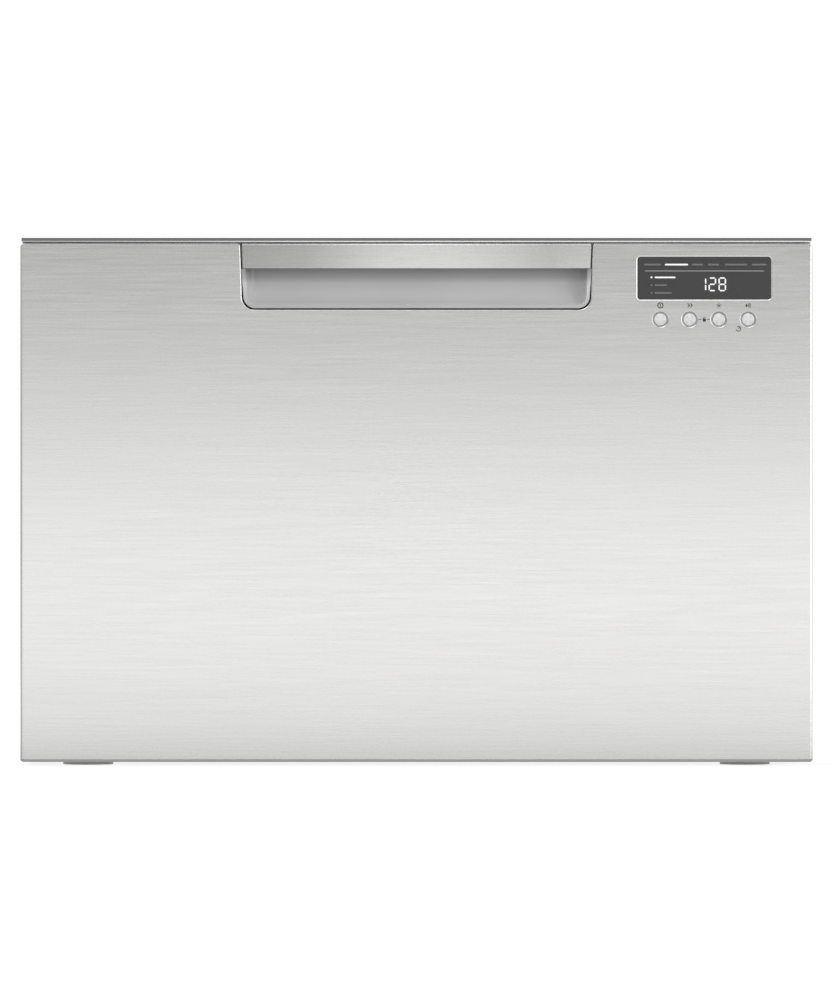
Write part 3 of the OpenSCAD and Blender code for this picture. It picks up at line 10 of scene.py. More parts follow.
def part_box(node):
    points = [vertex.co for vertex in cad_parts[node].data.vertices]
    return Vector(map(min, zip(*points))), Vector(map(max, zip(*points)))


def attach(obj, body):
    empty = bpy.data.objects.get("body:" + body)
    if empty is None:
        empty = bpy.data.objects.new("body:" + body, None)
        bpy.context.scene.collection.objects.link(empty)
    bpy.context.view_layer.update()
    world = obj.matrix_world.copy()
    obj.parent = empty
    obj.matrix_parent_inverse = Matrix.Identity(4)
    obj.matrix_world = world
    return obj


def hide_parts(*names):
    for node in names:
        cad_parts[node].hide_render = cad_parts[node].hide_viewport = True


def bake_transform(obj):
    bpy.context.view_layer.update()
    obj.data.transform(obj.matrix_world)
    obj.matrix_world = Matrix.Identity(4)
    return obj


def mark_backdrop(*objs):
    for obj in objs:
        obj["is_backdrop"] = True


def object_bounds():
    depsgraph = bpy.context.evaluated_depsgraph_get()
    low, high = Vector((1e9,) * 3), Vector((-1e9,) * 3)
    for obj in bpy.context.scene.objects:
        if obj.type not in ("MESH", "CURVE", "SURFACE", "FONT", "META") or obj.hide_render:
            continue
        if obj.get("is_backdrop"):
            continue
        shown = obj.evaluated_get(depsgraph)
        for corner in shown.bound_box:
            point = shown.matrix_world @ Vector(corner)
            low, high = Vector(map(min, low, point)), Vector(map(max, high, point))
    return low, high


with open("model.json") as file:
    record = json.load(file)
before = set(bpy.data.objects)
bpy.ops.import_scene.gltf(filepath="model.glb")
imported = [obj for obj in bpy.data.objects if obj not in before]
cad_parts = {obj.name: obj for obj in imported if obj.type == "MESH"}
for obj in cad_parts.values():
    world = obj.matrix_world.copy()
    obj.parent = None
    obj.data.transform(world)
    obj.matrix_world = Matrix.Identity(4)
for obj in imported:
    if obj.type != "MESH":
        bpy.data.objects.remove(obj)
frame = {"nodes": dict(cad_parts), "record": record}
cad_low, cad_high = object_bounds()

MM = 0.001
SEAT = 0.3 * MM

# ------------------------------------------------------------------ mesh tools


def add(bm, part):
    """Puts a part's mesh into bm."""
    mesh = bpy.data.meshes.new("part")
    part.to_mesh(mesh)
    part.free()
    bm.from_mesh(mesh)
    bpy.data.meshes.remove(mesh)
    return bm


def joined(*parts):
    """One mesh of several parts."""
    bm = bmesh.new()
    for part in parts:
        add(bm, part)
    return bm


def moved(part, place):
    """The part, shifted by a vector."""
    bmesh.ops.translate(part, verts=part.verts, vec=Vector(place))
    return part


def turned_by(part, degrees, axis):
    """The part, turned round an axis through the origin."""
    turn = Matrix.Rotation(math.radians(degrees), 3, axis)
    bmesh.ops.rotate(part, verts=part.verts, cent=(0, 0, 0), matrix=turn)
    return part


def mirrored(part):
    """The part's image on the other side of the drawer's middle."""
    bmesh.ops.scale(part, verts=part.verts, vec=(-1, 1, 1))
    bmesh.ops.reverse_faces(part, faces=part.faces)
    return part


def rims(bm, axis, ends):
    """Edges round the flat ends of a block that lie across an axis."""
    found = []
    for edge in bm.edges:
        if len(edge.link_faces) == 2:
            lean = [face.normal[axis] for face in edge.link_faces]
            for end in ends:
                most, least = max(n * end for n in lean), min(n * end for n in lean)
                if most > 0.99 and least < 0.9:
                    found.append(edge)
    return found


def rounded(bm, edges, radius, steps):
    """Rounds edges."""
    bmesh.ops.bevel(bm, geom=edges, offset=radius, offset_type="OFFSET", segments=steps, profile=0.5,
                    affect="EDGES", clamp_overlap=True, material=-1)
    return bm


def block(low, high, axis=1, corner=0.0, edge=0.0, ends=(-1, 1), steps=4):
    """A block: its four edges along an axis are rounded to corner, and the rims of its ends to edge."""
    low, high = Vector(low), Vector(high)
    bm = bmesh.new()
    place = Matrix.Translation((low + high) / 2) @ Matrix.Diagonal((*(high - low), 1))
    bmesh.ops.create_cube(bm, size=1, matrix=place)
    if corner:
        sides = [e for e in bm.edges if abs((e.verts[0].co - e.verts[1].co).normalized()[axis]) > 0.9]
        rounded(bm, sides, corner, steps)
    if edge:
        bm.normal_update()
        rounded(bm, rims(bm, axis, ends), edge, 3)
    return bm


def drawn_out(bm, axis, length):
    """Draws bm's faces out along an axis into a solid."""
    drawn = bmesh.ops.extrude_face_region(bm, geom=bm.faces[:])["geom"]
    step = Vector((0, 0, 0))
    step[axis] = length
    bmesh.ops.translate(bm, verts=[v for v in drawn if isinstance(v, bmesh.types.BMVert)], vec=step)
    bmesh.ops.recalc_face_normals(bm, faces=bm.faces)
    return bm


def prism(outline, low, high, axis=0):
    """An outline of (a, b) points across an axis, drawn out along it."""
    bm = bmesh.new()
    bm.faces.new([bm.verts.new(across(axis, low, a, b)) for a, b in outline])
    return drawn_out(bm, axis, high - low)


def turned(profile, centre, axis=2, steps=48, sweep=360):
    """A profile of (radius, height) points turned round an axis through a centre."""
    bm = bmesh.new()
    across, along = Vector((0, 0, 0)), Vector((0, 0, 0))
    across[0 if axis != 0 else 1] = 1
    along[axis] = 1
    verts = [bm.verts.new(across * radius + along * height) for radius, height in profile]
    edges = [bm.edges.new(pair) for pair in zip(verts, verts[1:])]
    if sweep < 360:
        edges.append(bm.edges.new((verts[-1], verts[0])))
    bmesh.ops.spin(bm, geom=verts + edges, cent=(0, 0, 0), axis=along, angle=math.radians(sweep),
                   steps=steps, use_merge=sweep == 360, use_duplicate=False)
    if sweep < 360:
        bmesh.ops.holes_fill(bm, edges=[e for e in bm.edges if e.is_boundary])
    bmesh.ops.remove_doubles(bm, verts=bm.verts, dist=1e-7)
    return moved(bm, centre)


def loft(bm, rings, closed=False, capped=False):
    """Closed rings of points, each joined to the next, and the edges of each.

    The last ring is joined to the first if closed, and both are filled if capped.
    """
    made = []
    for ring in rings:
        verts = [bm.verts.new(point) for point in ring]
        made.append([bm.edges.new(pair) for pair in zip(verts, verts[1:] + verts[:1])])
    for near, far in zip(made, made[1:]):
        bmesh.ops.bridge_loops(bm, edges=near + far)
    if closed:
        bmesh.ops.bridge_loops(bm, edges=made[-1] + made[0])
    elif capped:
        for end in (made[0], made[-1]):
            bmesh.ops.edgeloop_fill(bm, edges=end)
    return made


def tube(path, radius, sides=10, closed=False, swell=None):
    """A round wire or hose along a path. Open ends are domed, and swell(i) scales the radius at a point."""
    path = [Vector(p) for p in path]
    bm = bmesh.new()
    heads = []
    for i, point in enumerate(path):
        before = path[i - 1] if i or closed else point
        after = path[(i + 1) % len(path)] if i < len(path) - 1 or closed else point
        heads.append(((after - before).normalized(), point))
    sizes = [radius * (swell(i) if swell else 1) for i in range(len(path))]
    stations = [(point, heading, size) for (heading, point), size in zip(heads, sizes)]
    if not closed:
        first, last = heads[0], heads[-1]
        dome = [(0.0, 0.45), (0.35, 0.86)]
        start = [(first[1] + first[0] * radius * s, first[0], radius * w) for s, w in dome]
        end = [(last[1] - last[0] * radius * s, last[0], radius * w) for s, w in reversed(dome)]
        stations[0] = (first[1] + first[0] * radius, first[0], sizes[0])
        stations[-1] = (last[1] - last[0] * radius, last[0], sizes[-1])
        stations = start + stations + end
    rings = []
    side = None
    for point, heading, size in stations:
        if side is None:
            upright = Vector((0, 0, 1)) if abs(heading.z) < 0.9 else Vector((1, 0, 0))
            side = heading.cross(upright).normalized()
        side = (side - heading * side.dot(heading)).normalized()
        rise = side.cross(heading)
        angles = [2 * math.pi * k / sides for k in range(sides)]
        rings.append([point + (side * math.cos(a) + rise * math.sin(a)) * size for a in angles])
    loft(bm, rings, closed, capped=True)
    return bm


def bent(points, radius, steps=5):
    """A path through points, with its corners bent to a radius."""
    points = [Vector(p) for p in points]
    path = [points[0]]
    for before, corner, after in zip(points, points[1:], points[2:]):
        into, out = (corner - before).normalized(), (after - corner).normalized()
        turn = into.angle(out)
        reach = radius * math.tan(turn / 2)
        centre = corner + (out - into).normalized() * radius / math.cos(turn / 2)
        arm = corner - into * reach - centre
        axis = into.cross(out).normalized()
        for k in range(steps + 1):
            path.append(centre + Matrix.Rotation(turn * k / steps, 3, axis) @ arm)
    return path + [points[-1]]


def rounded_rect(centre, width, depth, radius, steps=6):
    """Points round a rectangle with rounded corners, counter-clockwise from its lower right.

    The radius is one value, or four: lower right, upper right, upper left and lower left.
    """
    radii = radius if isinstance(radius, tuple) else (radius,) * 4
    points = []
    for quarter, r in enumerate(radii):
        sx, sy = (1, 1, -1, -1)[quarter], (-1, 1, 1, -1)[quarter]
        corner = Vector((centre[0] + sx * (width / 2 - r), centre[1] + sy * (depth / 2 - r)))
        for k in range(steps + 1):
            a = math.radians(-90 + 90 * quarter + 90 * k / steps)
            points.append(corner + Vector((math.cos(a), math.sin(a))) * r)
    return points


def angles(*degrees):
    """Degrees in radians."""
    return [math.radians(t) for t in degrees]


def circle(centre, radius, steps=32):
    """Points round a circle, counter-clockwise."""
    turns = [2 * math.pi * k / steps for k in range(steps)]
    return [Vector(centre) + Vector((math.cos(a), math.sin(a))) * radius for a in turns]


def across(axis, place, a, b):
    """A point at a place on an axis, and at (a, b) on the other two."""
    return {0: (place, a, b), 1: (a, place, b), 2: (a, b, place)}[axis]


def loops(bm, outlines, axis, place):
    """Closed loops of edges across an axis."""
    edges = []
    for outline in outlines:
        verts = [bm.verts.new(across(axis, place, *point)) for point in outline]
        edges += [bm.edges.new(pair) for pair in zip(verts, verts[1:] + verts[:1])]
    return edges


def filled(bm, edges, axis):
    """Faces between loops that lie across an axis."""
    normal = Vector((0, 0, 0))
    normal[axis] = 1
    bmesh.ops.triangle_fill(bm, use_beauty=True, use_dissolve=False, edges=edges, normal=normal)


def pierced(outline, holes, low, high, axis):
    """A plate with holes right through it, from low to high along an axis."""
    bm = bmesh.new()
    filled(bm, loops(bm, [outline] + holes, axis, low), axis)
    return drawn_out(bm, axis, high - low)


def swept(path, section, axis=1, closed=False):
    """A section of (inset, depth) points carried along a path across an axis, inset to the path's left."""
    rings = []
    for i, spot in enumerate(path):
        before = path[i - 1] if i or closed else spot
        after = path[(i + 1) % len(path)] if i < len(path) - 1 or closed else spot
        into = (spot - before).normalized() if spot != before else (after - spot).normalized()
        out = (after - spot).normalized() if after != spot else into
        left = Vector((-into.y - out.y, into.x + out.x)).normalized()
        reach = 1 / max(left.dot(Vector((-into.y, into.x))), 0.5)
        rings.append([across(axis, depth, *(spot + left * inset * reach)) for inset, depth in section])
    bm = bmesh.new()
    loft(bm, rings, closed, capped=True)
    return bm


def shown(name, data):
    """An object of a mesh, a lamp or a camera, put in the scene."""
    made = bpy.data.objects.new(name, data)
    bpy.context.scene.collection.objects.link(made)
    return made


def mesh_object(bm, name, finish):
    """An object of bm, in one finish."""
    mesh = bpy.data.meshes.new(name)
    bm.to_mesh(mesh)
    bm.free()
    mesh.materials.append(finish)
    return shown(name, mesh)


def piece(bm, name, body, slot, replaces=(), finish=None, sharp=38, even=True):
    """Finishes a mesh as a named piece that rides on a body, in its slot's finish or one of its own."""
    bmesh.ops.remove_doubles(bm, verts=bm.verts, dist=1e-7)
    bmesh.ops.dissolve_degenerate(bm, edges=bm.edges, dist=1e-8)
    bmesh.ops.recalc_face_normals(bm, faces=bm.faces)
    made = mesh_object(bm, name, finish or FINISHES[slot])
    made.data.shade_smooth()
    made.data.set_sharp_from_angle(angle=math.radians(sharp))
    if even:
        shading = made.modifiers.new("even_shading", "WEIGHTED_NORMAL")
        shading.keep_sharp = True
    if body:
        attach(made, body)
    if replaces:
        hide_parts(*replaces)
    return made


# ------------------------------------------------------------------ finishes


def fill(tree, socket, value):
    """Gives a socket another node's output, or a plain value."""
    if isinstance(value, bpy.types.NodeSocket):
        tree.links.new(value, socket)
    else:
        socket.default_value = value


def node(tree, kind, *sources, **settings):
    """A shader node: its first inputs get the sources, and its properties and other inputs the settings."""
    made = tree.nodes.new("ShaderNode" + kind)
    for name, value in settings.items():
        if name.islower():
            setattr(made, name, value)
        else:
            fill(tree, made.inputs[name.replace("_", " ")], value)
    for socket, source in zip(made.inputs, sources):
        fill(tree, socket, source)
    return made


def blank_finish(name, colour, roughness, metallic=0.0, **sockets):
    """A material with its plain values set on the shader."""
    material = bpy.data.materials.new(name)
    material.use_nodes = True
    shader = material.node_tree.nodes["Principled BSDF"]
    values = {"Base Color": (*colour, 1), "Roughness": roughness, "Metallic": metallic}
    values.update({socket.replace("_", " "): value for socket, value in sockets.items()})
    for socket, value in values.items():
        shader.inputs[socket].default_value = value
    return material, material.node_tree, shader


def grain(tree, size, stretch=(1, 1, 1), detail=3.0, kind="NOISE"):
    """A noise on the object's own coordinates, whose spots are size across before stretching."""
    place = node(tree, "TexCoord").outputs["Object"]
    mapped = node(tree, "Mapping", place, Scale=[1 / s for s in stretch]).outputs["Vector"]
    if kind == "CELLS":
        cells = node(tree, "TexVoronoi", mapped, Scale=1 / size).outputs["Color"]
        return node(tree, "RGBToBW", cells).outputs["Val"]
    return node(tree, "TexNoise", mapped, Scale=1 / size, Detail=detail).outputs["Fac"]


def ramp(tree, source, stops):
    """Colours along a value, from (position, colour) stops. One number for a colour is a grey."""
    made = node(tree, "ValToRGB", source)
    elements = made.color_ramp.elements
    while len(elements) < len(stops):
        elements.new(0.5)
    for element, (position, colour) in zip(elements, stops):
        element.position = position
        element.color = (*(colour if isinstance(colour, tuple) else (colour,) * 3), 1)
    return made.outputs["Color"]


def span(tree, source, low, high):
    """A value from 0 to 1, mapped from low to high."""
    made = node(tree, "MapRange", source, From_Min=0.25, From_Max=0.75, To_Min=low, To_Max=high)
    return made.outputs["Result"]


def dressed(tree, shader, tone, gloss, surface, depth):
    """Links a finish's tone, its gloss if that changes, and its relief of a depth in metres."""
    bump = node(tree, "Bump", Strength=1, Distance=depth, Height=surface).outputs["Normal"]
    fill(tree, shader.inputs["Base Color"], tone)
    if gloss:
        fill(tree, shader.inputs["Roughness"], gloss)
    fill(tree, shader.inputs["Normal"], bump)


def product(tree, first, second):
    """Two colours multiplied."""
    made = node(tree, "Mix", data_type="RGBA", blend_type="MULTIPLY", Factor=1, A=first, B=second)
    return made.outputs["Result"]


def shade(colour, factor):
    """A colour made lighter or darker."""
    return tuple(min(1.0, c * factor) for c in colour)


def along_axis(tree, axis, low, high):
    """Share of the way from low to high along an axis of the object."""
    place = node(tree, "SeparateXYZ", node(tree, "TexCoord").outputs["Object"]).outputs[axis]
    return node(tree, "MapRange", place, From_Min=low, From_Max=high).outputs["Result"]


def brushed_steel(name, colour, roughness, streak, shading=None):
    """Steel brushed along X: long fine streaks in its tone, gloss and surface."""
    spread = 0.03
    material, tree, shader = blank_finish(name, colour, roughness, metallic=1.0)
    fine = grain(tree, streak, stretch=(40, 1, 1), detail=4)
    broad = grain(tree, streak * 6, stretch=(16, 1, 1), detail=2)
    tone = ramp(tree, fine, [(0.2, shade(colour, 1 - spread)), (0.8, shade(colour, 1 + spread))])
    tone = product(tree, tone, ramp(tree, broad, [(0.2, 1 - spread), (0.8, 1)]))
    # shading, where given, multiplies a painted highlight into the tone
    if shading:
        tone = product(tree, tone, shading(tree))
    dressed(tree, shader, tone, span(tree, fine, roughness * 0.85, roughness * 1.15), fine, streak * 0.012)
    return material


def moulded(name, colour, roughness, size=0.5 * MM, depth=0.01 * MM, spread=0.04, shading=None, **sockets):
    """Moulded plastic or rubber: a fine spark grain, and slow drifts of tone and gloss."""
    material, tree, shader = blank_finish(name, colour, roughness, **sockets)
    fine = grain(tree, size, detail=2)
    drift = grain(tree, 60 * MM, detail=3)
    tone = ramp(tree, drift, [(0.25, shade(colour, 1 - spread)), (0.75, shade(colour, 1 + spread))])
    tone = product(tree, tone, ramp(tree, fine, [(0.3, 1 - spread / 2), (0.7, 1)]))
    # shading, where given, multiplies painted light and shade into the tone
    if shading:
        tone = product(tree, tone, shading(tree))
    dressed(tree, shader, tone, span(tree, drift, roughness * 0.88, roughness * 1.12), fine, depth)
    return material


def galvanised_sheet(name, colour):
    """Zinc coated sheet, with its spangle of crystals and faint rolling lines."""
    material, tree, shader = blank_finish(name, colour, 0.42, metallic=0.85)
    crystals = grain(tree, 9 * MM, kind="CELLS")
    lines = grain(tree, 0.8 * MM, stretch=(1, 1, 30), detail=3)
    tone = ramp(tree, crystals, [(0.1, shade(colour, 0.88)), (0.9, shade(colour, 1.1))])
    tone = product(tree, tone, ramp(tree, lines, [(0.25, 0.95), (0.75, 1)]))
    dressed(tree, shader, tone, span(tree, crystals, 0.34, 0.5), lines, 0.004 * MM)
    return material


def plated_steel(name, colour, stretch, roughness=0.32):
    """Zinc plated or drawn steel, with its drawing lines along one axis."""
    material, tree, shader = blank_finish(name, colour, roughness, metallic=1.0)
    lines = grain(tree, 0.5 * MM, stretch=stretch, detail=3)
    drift = grain(tree, 30 * MM, detail=2)
    tone = ramp(tree, lines, [(0.25, shade(colour, 0.92)), (0.75, shade(colour, 1.06))])
    tone = product(tree, tone, ramp(tree, drift, [(0.3, (0.93, 0.93, 0.94)), (0.7, (1, 1, 0.98))]))
    dressed(tree, shader, tone, span(tree, drift, roughness * 0.8, roughness * 1.2), lines, 0.004 * MM)
    return material


def spun_metal(name, colour):
    """Turned button face: rings round its own centre, whose anisotropic gloss catches the light in rays, and
    four rays of painted highlight in its tone.
    """
    material, tree, shader = blank_finish(name, colour, 0.3, metallic=0.6, Anisotropic=0.75)
    disc = node(tree, "UVMap", uv_map="disc").outputs["UV"]
    spot = node(tree, "SeparateXYZ", disc).outputs
    back = node(tree, "Math", spot["Y"], -1, operation="MULTIPLY").outputs["Value"]
    fill(tree, shader.inputs["Tangent"], node(tree, "CombineXYZ", X=back, Z=spot["X"]).outputs["Vector"])
    radius = node(tree, "VectorMath", disc, operation="LENGTH").outputs["Value"]
    rings = node(tree, "TexNoise", noise_dimensions="1D", Scale=4, W=radius).outputs["Fac"]
    # Four rays of painted highlight, from the angle round the button's centre
    turn = node(tree, "Math", spot["X"], spot["Y"], operation="ARCTAN2").outputs["Value"]
    fourfold = node(tree, "Math", turn, 4, operation="MULTIPLY").outputs["Value"]
    wave = node(tree, "Math", fourfold, operation="COSINE").outputs["Value"]
    painted_rays = node(tree, "MapRange", wave, From_Min=-1, From_Max=1).outputs["Result"]
    tone = ramp(tree, rings, [(0.3, shade(colour, 0.95)), (0.7, shade(colour, 1.04))])
    tone = product(tree, tone, ramp(tree, painted_rays, [(0.1, 0.9), (0.9, 1.0)]))
    dressed(tree, shader, tone, None, rings, 0.003 * MM)
    return material


def heat_tinted(name, colour):
    """Steel of the heating ring, browned in bands by its heat."""
    material, tree, shader = blank_finish(name, colour, 0.38, metallic=1.0)
    bands = grain(tree, 22 * MM, detail=3)
    fine = grain(tree, 0.6 * MM, detail=2)
    stops = [(0.2, (0.42, 0.30, 0.18)), (0.45, colour), (0.7, (0.32, 0.33, 0.42)), (0.9, (0.5, 0.44, 0.32))]
    dressed(tree, shader, ramp(tree, bands, stops), span(tree, fine, 0.3, 0.48), fine, 0.006 * MM)
    return material


def circuit_board(name, colour):
    """Green board with its tracks showing through the lacquer."""
    material, tree, shader = blank_finish(name, colour, 0.35)
    tracks = grain(tree, 1.2 * MM, stretch=(1, 1, 6), kind="CELLS")
    tone = ramp(tree, tracks, [(0.4, colour), (0.55, shade(colour, 1.5))])
    dressed(tree, shader, tone, None, tracks, 0.01 * MM)
    return material


# Painted sheen across the bar: tone factors by share of its width, brightest at the middle
BAR_SHEEN_STOPS = [(0.0, 0.57), (0.18, 0.65), (0.29, 0.8), (0.4, 0.95), (0.5, 1.0),
             (0.58, 1.0), (0.68, 0.95), (0.78, 0.86), (0.88, 0.76), (1.0, 0.83)]
BAR_HALF = 132 * MM


def bar_painted_sheen(tree):
    """The bar's tone carries a painted sheen: brighter along its middle, darker towards its ends."""
    return ramp(tree, along_axis(tree, "X", -BAR_HALF, BAR_HALF), BAR_SHEEN_STOPS)


# Painted light and shade up the cup: tone factors by share of its height, up to the bar's foot
CUP_SHADE_STOPS = [(0.0, 1.1), (0.1, 1.1), (0.14, 0.78), (0.29, 0.88), (0.39, 0.95), (0.58, 1.0),
             (0.68, 0.98), (0.74, 0.85), (0.8, 0.7), (0.87, 0.62), (0.97, 0.52)]


def cup_painted_shade(tree):
    """The cup's tone carries painted light and shade by height: a painted shadow darkens it high under the bar,
    and its flange at the foot is painted lighter.
    """
    return ramp(tree, along_axis(tree, "Z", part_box("handle_cup")[0].z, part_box("handle_bar")[0].z), CUP_SHADE_STOPS)


TRIM_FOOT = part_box("top_trim")[1].z - 3.05 * MM
TRIM_EDGE = 0.85 * MM


def trim_painted_highlight(tree):
    """The trim is a dark satin. A painted highlight runs along the foot of its front edge, brightest at the
    middle and right.
    """
    satin = (0.3, 0.3, 0.3, 1)
    painted_edge_glint = ramp(tree, along_axis(tree, "X", cad_low.x, cad_high.x),
                  [(0.0, 0.5), (0.17, 0.64), (0.35, 0.94), (0.5, 1.0), (1.0, 0.95)])
    # The band along the front edge's foot where the painted highlight is mixed into the satin
    height = along_axis(tree, "Z", TRIM_FOOT - TRIM_EDGE, TRIM_FOOT + 2 * TRIM_EDGE)
    edge = ramp(tree, height, [(0.3, 0.0), (0.33, 1.0), (0.66, 1.0), (0.7, 0.0)])
    return node(tree, "Mix", data_type="RGBA", A=satin, Factor=edge, B=painted_edge_glint).outputs["Result"]


FINISHES = {
    "brushed_steel_front": brushed_steel("brushed_steel_front", (0.86, 0.855, 0.85), 0.26, 1.1 * MM),
    "handle_steel": brushed_steel("handle_steel", (0.93, 0.925, 0.92), 0.26, 0.7 * MM, shading=bar_painted_sheen),
    "trim_metal": brushed_steel("trim_metal", (0.97, 0.97, 0.97), 0.26, 0.8 * MM, shading=trim_painted_highlight),
    "cup_plastic": moulded("cup_plastic", (0.69, 0.69, 0.69), 0.38, shading=cup_painted_shade),
    "dark_plastic": moulded("dark_plastic", (0.045, 0.045, 0.048), 0.5),
    "grey_plastic": moulded("grey_plastic", (0.30, 0.31, 0.33), 0.45),
    "liner_plastic": moulded("liner_plastic", (0.13, 0.135, 0.145), 0.5),
    "lens": moulded("lens", (0.055, 0.055, 0.055), 0.28, depth=0.0005 * MM, spread=0.02),
    "board": circuit_board("board", (0.02, 0.13, 0.06)),
    "button_metal": spun_metal("button_metal", (0.98, 0.98, 0.98)),
    "tub_plastic": moulded("tub_plastic", (0.55, 0.56, 0.57), 0.4),
    "wash_plastic": moulded("wash_plastic", (0.2, 0.205, 0.22), 0.42),
    "arm_plastic": moulded("arm_plastic", (0.46, 0.47, 0.49), 0.4),
    "rack_wire": moulded("rack_wire", (0.27, 0.28, 0.3), 0.34, size=2 * MM, depth=0.03 * MM),
    "basket_plastic": moulded("basket_plastic", (0.12, 0.125, 0.135), 0.45),
    "galvanised": galvanised_sheet("galvanised", (0.62, 0.63, 0.64)),
    "slide_steel": plated_steel("slide_steel", (0.68, 0.69, 0.7), (1, 40, 1)),
    "heater_steel": heat_tinted("heater_steel", (0.45, 0.42, 0.38)),
    "seal_rubber": moulded("seal_rubber", (0.02, 0.02, 0.02), 0.6, size=0.8 * MM),
    "lid_seal_rubber": moulded("lid_seal_rubber", (0.07, 0.07, 0.073), 0.55, size=0.8 * MM),
    "lid_plastic": moulded("lid_plastic", (0.62, 0.63, 0.64), 0.4),
    "pinion_plastic": moulded("pinion_plastic", (0.72, 0.7, 0.62), 0.35),
    "hose_plastic": moulded("hose_plastic", (0.3, 0.31, 0.32), 0.42),
    "white_plastic": moulded("white_plastic", (0.66, 0.66, 0.62), 0.42),
    "screw_steel": plated_steel("screw_steel", (0.5, 0.5, 0.52), (1, 1, 1), roughness=0.36),
    "collar": moulded("collar", (0.5, 0.5, 0.5), 0.3, depth=0.002 * MM),
    "cap_blue": moulded("cap_blue", (0.06, 0.12, 0.24), 0.25),
}
SYMBOL_INK = moulded("symbol_ink", (0.015, 0.015, 0.015), 0.5, depth=0.001 * MM)
LIT_MARK = moulded("lit_mark", (0.85, 0.85, 0.85), 0.5, depth=0.0005 * MM, spread=0.02,
                   Emission_Color=(1, 1, 1, 1), Emission_Strength=0.25)
DIM_MARK = moulded("dim_mark", (0.19, 0.19, 0.19), 0.5, depth=0.0005 * MM, spread=0.03)
LINE_MARK = moulded("line_mark", (0.34, 0.34, 0.34), 0.5, depth=0.0005 * MM, spread=0.03)

for part in frame["record"]["subparts"]:
    for slot in frame["nodes"][part["node"]].material_slots:
        slot.material = FINISHES[part["material_slot"]]

# ------------------------------------------------------------------ drawer front

front_low, front_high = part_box("front_panel")
FACE_Y = front_low.y
FRONT_HALF = front_high.x
FRONT_FOOT, SHEET_TOP = front_low.z, front_high.z
SHEET = 1 * MM
SKIN = 0.05 * MM            # the bare face lies this far behind the printed symbols
NOTCH_TOP = 133.1 * MM      # half widths of the handle notch
NOTCH_FOOT = 131.5 * MM
NOTCH_FOOT_Z = SHEET_TOP - 50 * MM
NOTCH_R = 9.5 * MM
NOTCH_GAP = 0.62 * MM
CONTROL_X = 217.4 * MM
LENS_DROP = 0.35 * MM
LENS_Z = (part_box("display_lens")[0].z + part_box("display_lens")[1].z) / 2 - LENS_DROP
LENS_W, LENS_H, LENS_R = 100 * MM, 31.3 * MM, 2 * MM
WINDOW_GAP = 0.15 * MM
BUTTONS = ["button_power", "button_select", "button_option", "button_start"]
BUTTON_Z = (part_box(BUTTONS[0])[0].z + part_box(BUTTONS[0])[1].z) / 2
BUTTON_PITCH = 22.1 * MM
BUTTON_R = 4.65 * MM
BUTTON_HOLE_R = 5.7 * MM

# A fold is its roll radius, its depth behind the face, and how thick its wall stands
OUTER_FOLD = Vector((2.3 * MM, 20 * MM, 1 * MM))
TOP_FOLD = Vector((0.15 * MM, 20 * MM, 1 * MM))
LIP_FOLD = Vector((1.3 * MM, 1.3 * MM, 0))
FOOT_FOLD = Vector((0.35 * MM, 1.3 * MM, 0))
WINDOW_FOLD = Vector((1.4 * MM, 1.4 * MM, 0))
BUTTON_FOLD = Vector((0.85 * MM, 1 * MM, 0))


def rounded_path(corners, steps=7):
    """Points round a closed outline, counter-clockwise, with the fold at each.

    A corner is (x, z, radius, fold of the side after it), and a fold changes to the next along the corner.
    """
    path = []
    for i, (x, z, radius, fold) in enumerate(corners):
        corner, before = Vector((x, z)), Vector(corners[i - 1][:2])
        after = Vector(corners[(i + 1) % len(corners)][:2])
        into, out = (corner - before).normalized(), (after - corner).normalized()
        turn = math.atan2(into.x * out.y - into.y * out.x, into.dot(out))
        start = corner - into * radius * math.tan(abs(turn) / 2)
        centre = start + Vector((-into.y, into.x)) * radius * math.copysign(1, turn)
        for k in range(steps + 1):
            spot = centre + Matrix.Rotation(turn * k / steps, 2) @ (start - centre)
            path.append((spot, corners[i - 1][3].lerp(fold, k / steps)))
    return path


def inset_ring(path, profile):
    """The outline drawn into the sheet: profile gives the inset and the depth for a fold."""
    ring = []
    for i, (spot, fold) in enumerate(path):
        into = (spot - path[i - 1][0]).normalized()
        out = (path[(i + 1) % len(path)][0] - spot).normalized()
        inward = Vector((-into.y - out.y, into.x + out.x)).normalized()
        inset, depth = profile(*fold)
        shift = inward * inset / max(inward.dot(Vector((-into.y, into.x))), 0.5)
        ring.append((spot.x + shift.x, FACE_Y + depth, spot.y + shift.y))
    return ring


def fold_profiles(steps=6):
    """The section of a folded edge, from the sheet's rear round its free edge and over the roll."""
    profiles = [lambda roll, deep, wall: (max(roll, wall), SHEET),
                lambda roll, deep, wall: (wall, min(deep, max(roll, SHEET))),
                lambda roll, deep, wall: (wall, deep),
                lambda roll, deep, wall: (0, deep)]
    for k in range(steps + 1):
        angle = math.radians(90 - 90 * k / steps)
        profiles.append(lambda roll, deep, wall, a=angle:
                        (roll * (1 - math.sin(a)), SKIN + (roll - SKIN) * (1 - math.cos(a))))
    return profiles


def hole_path(points, fold):
    """A hole's outline, clockwise, so that the sheet is on its left."""
    return [(Vector(p), fold) for p in reversed(points)]


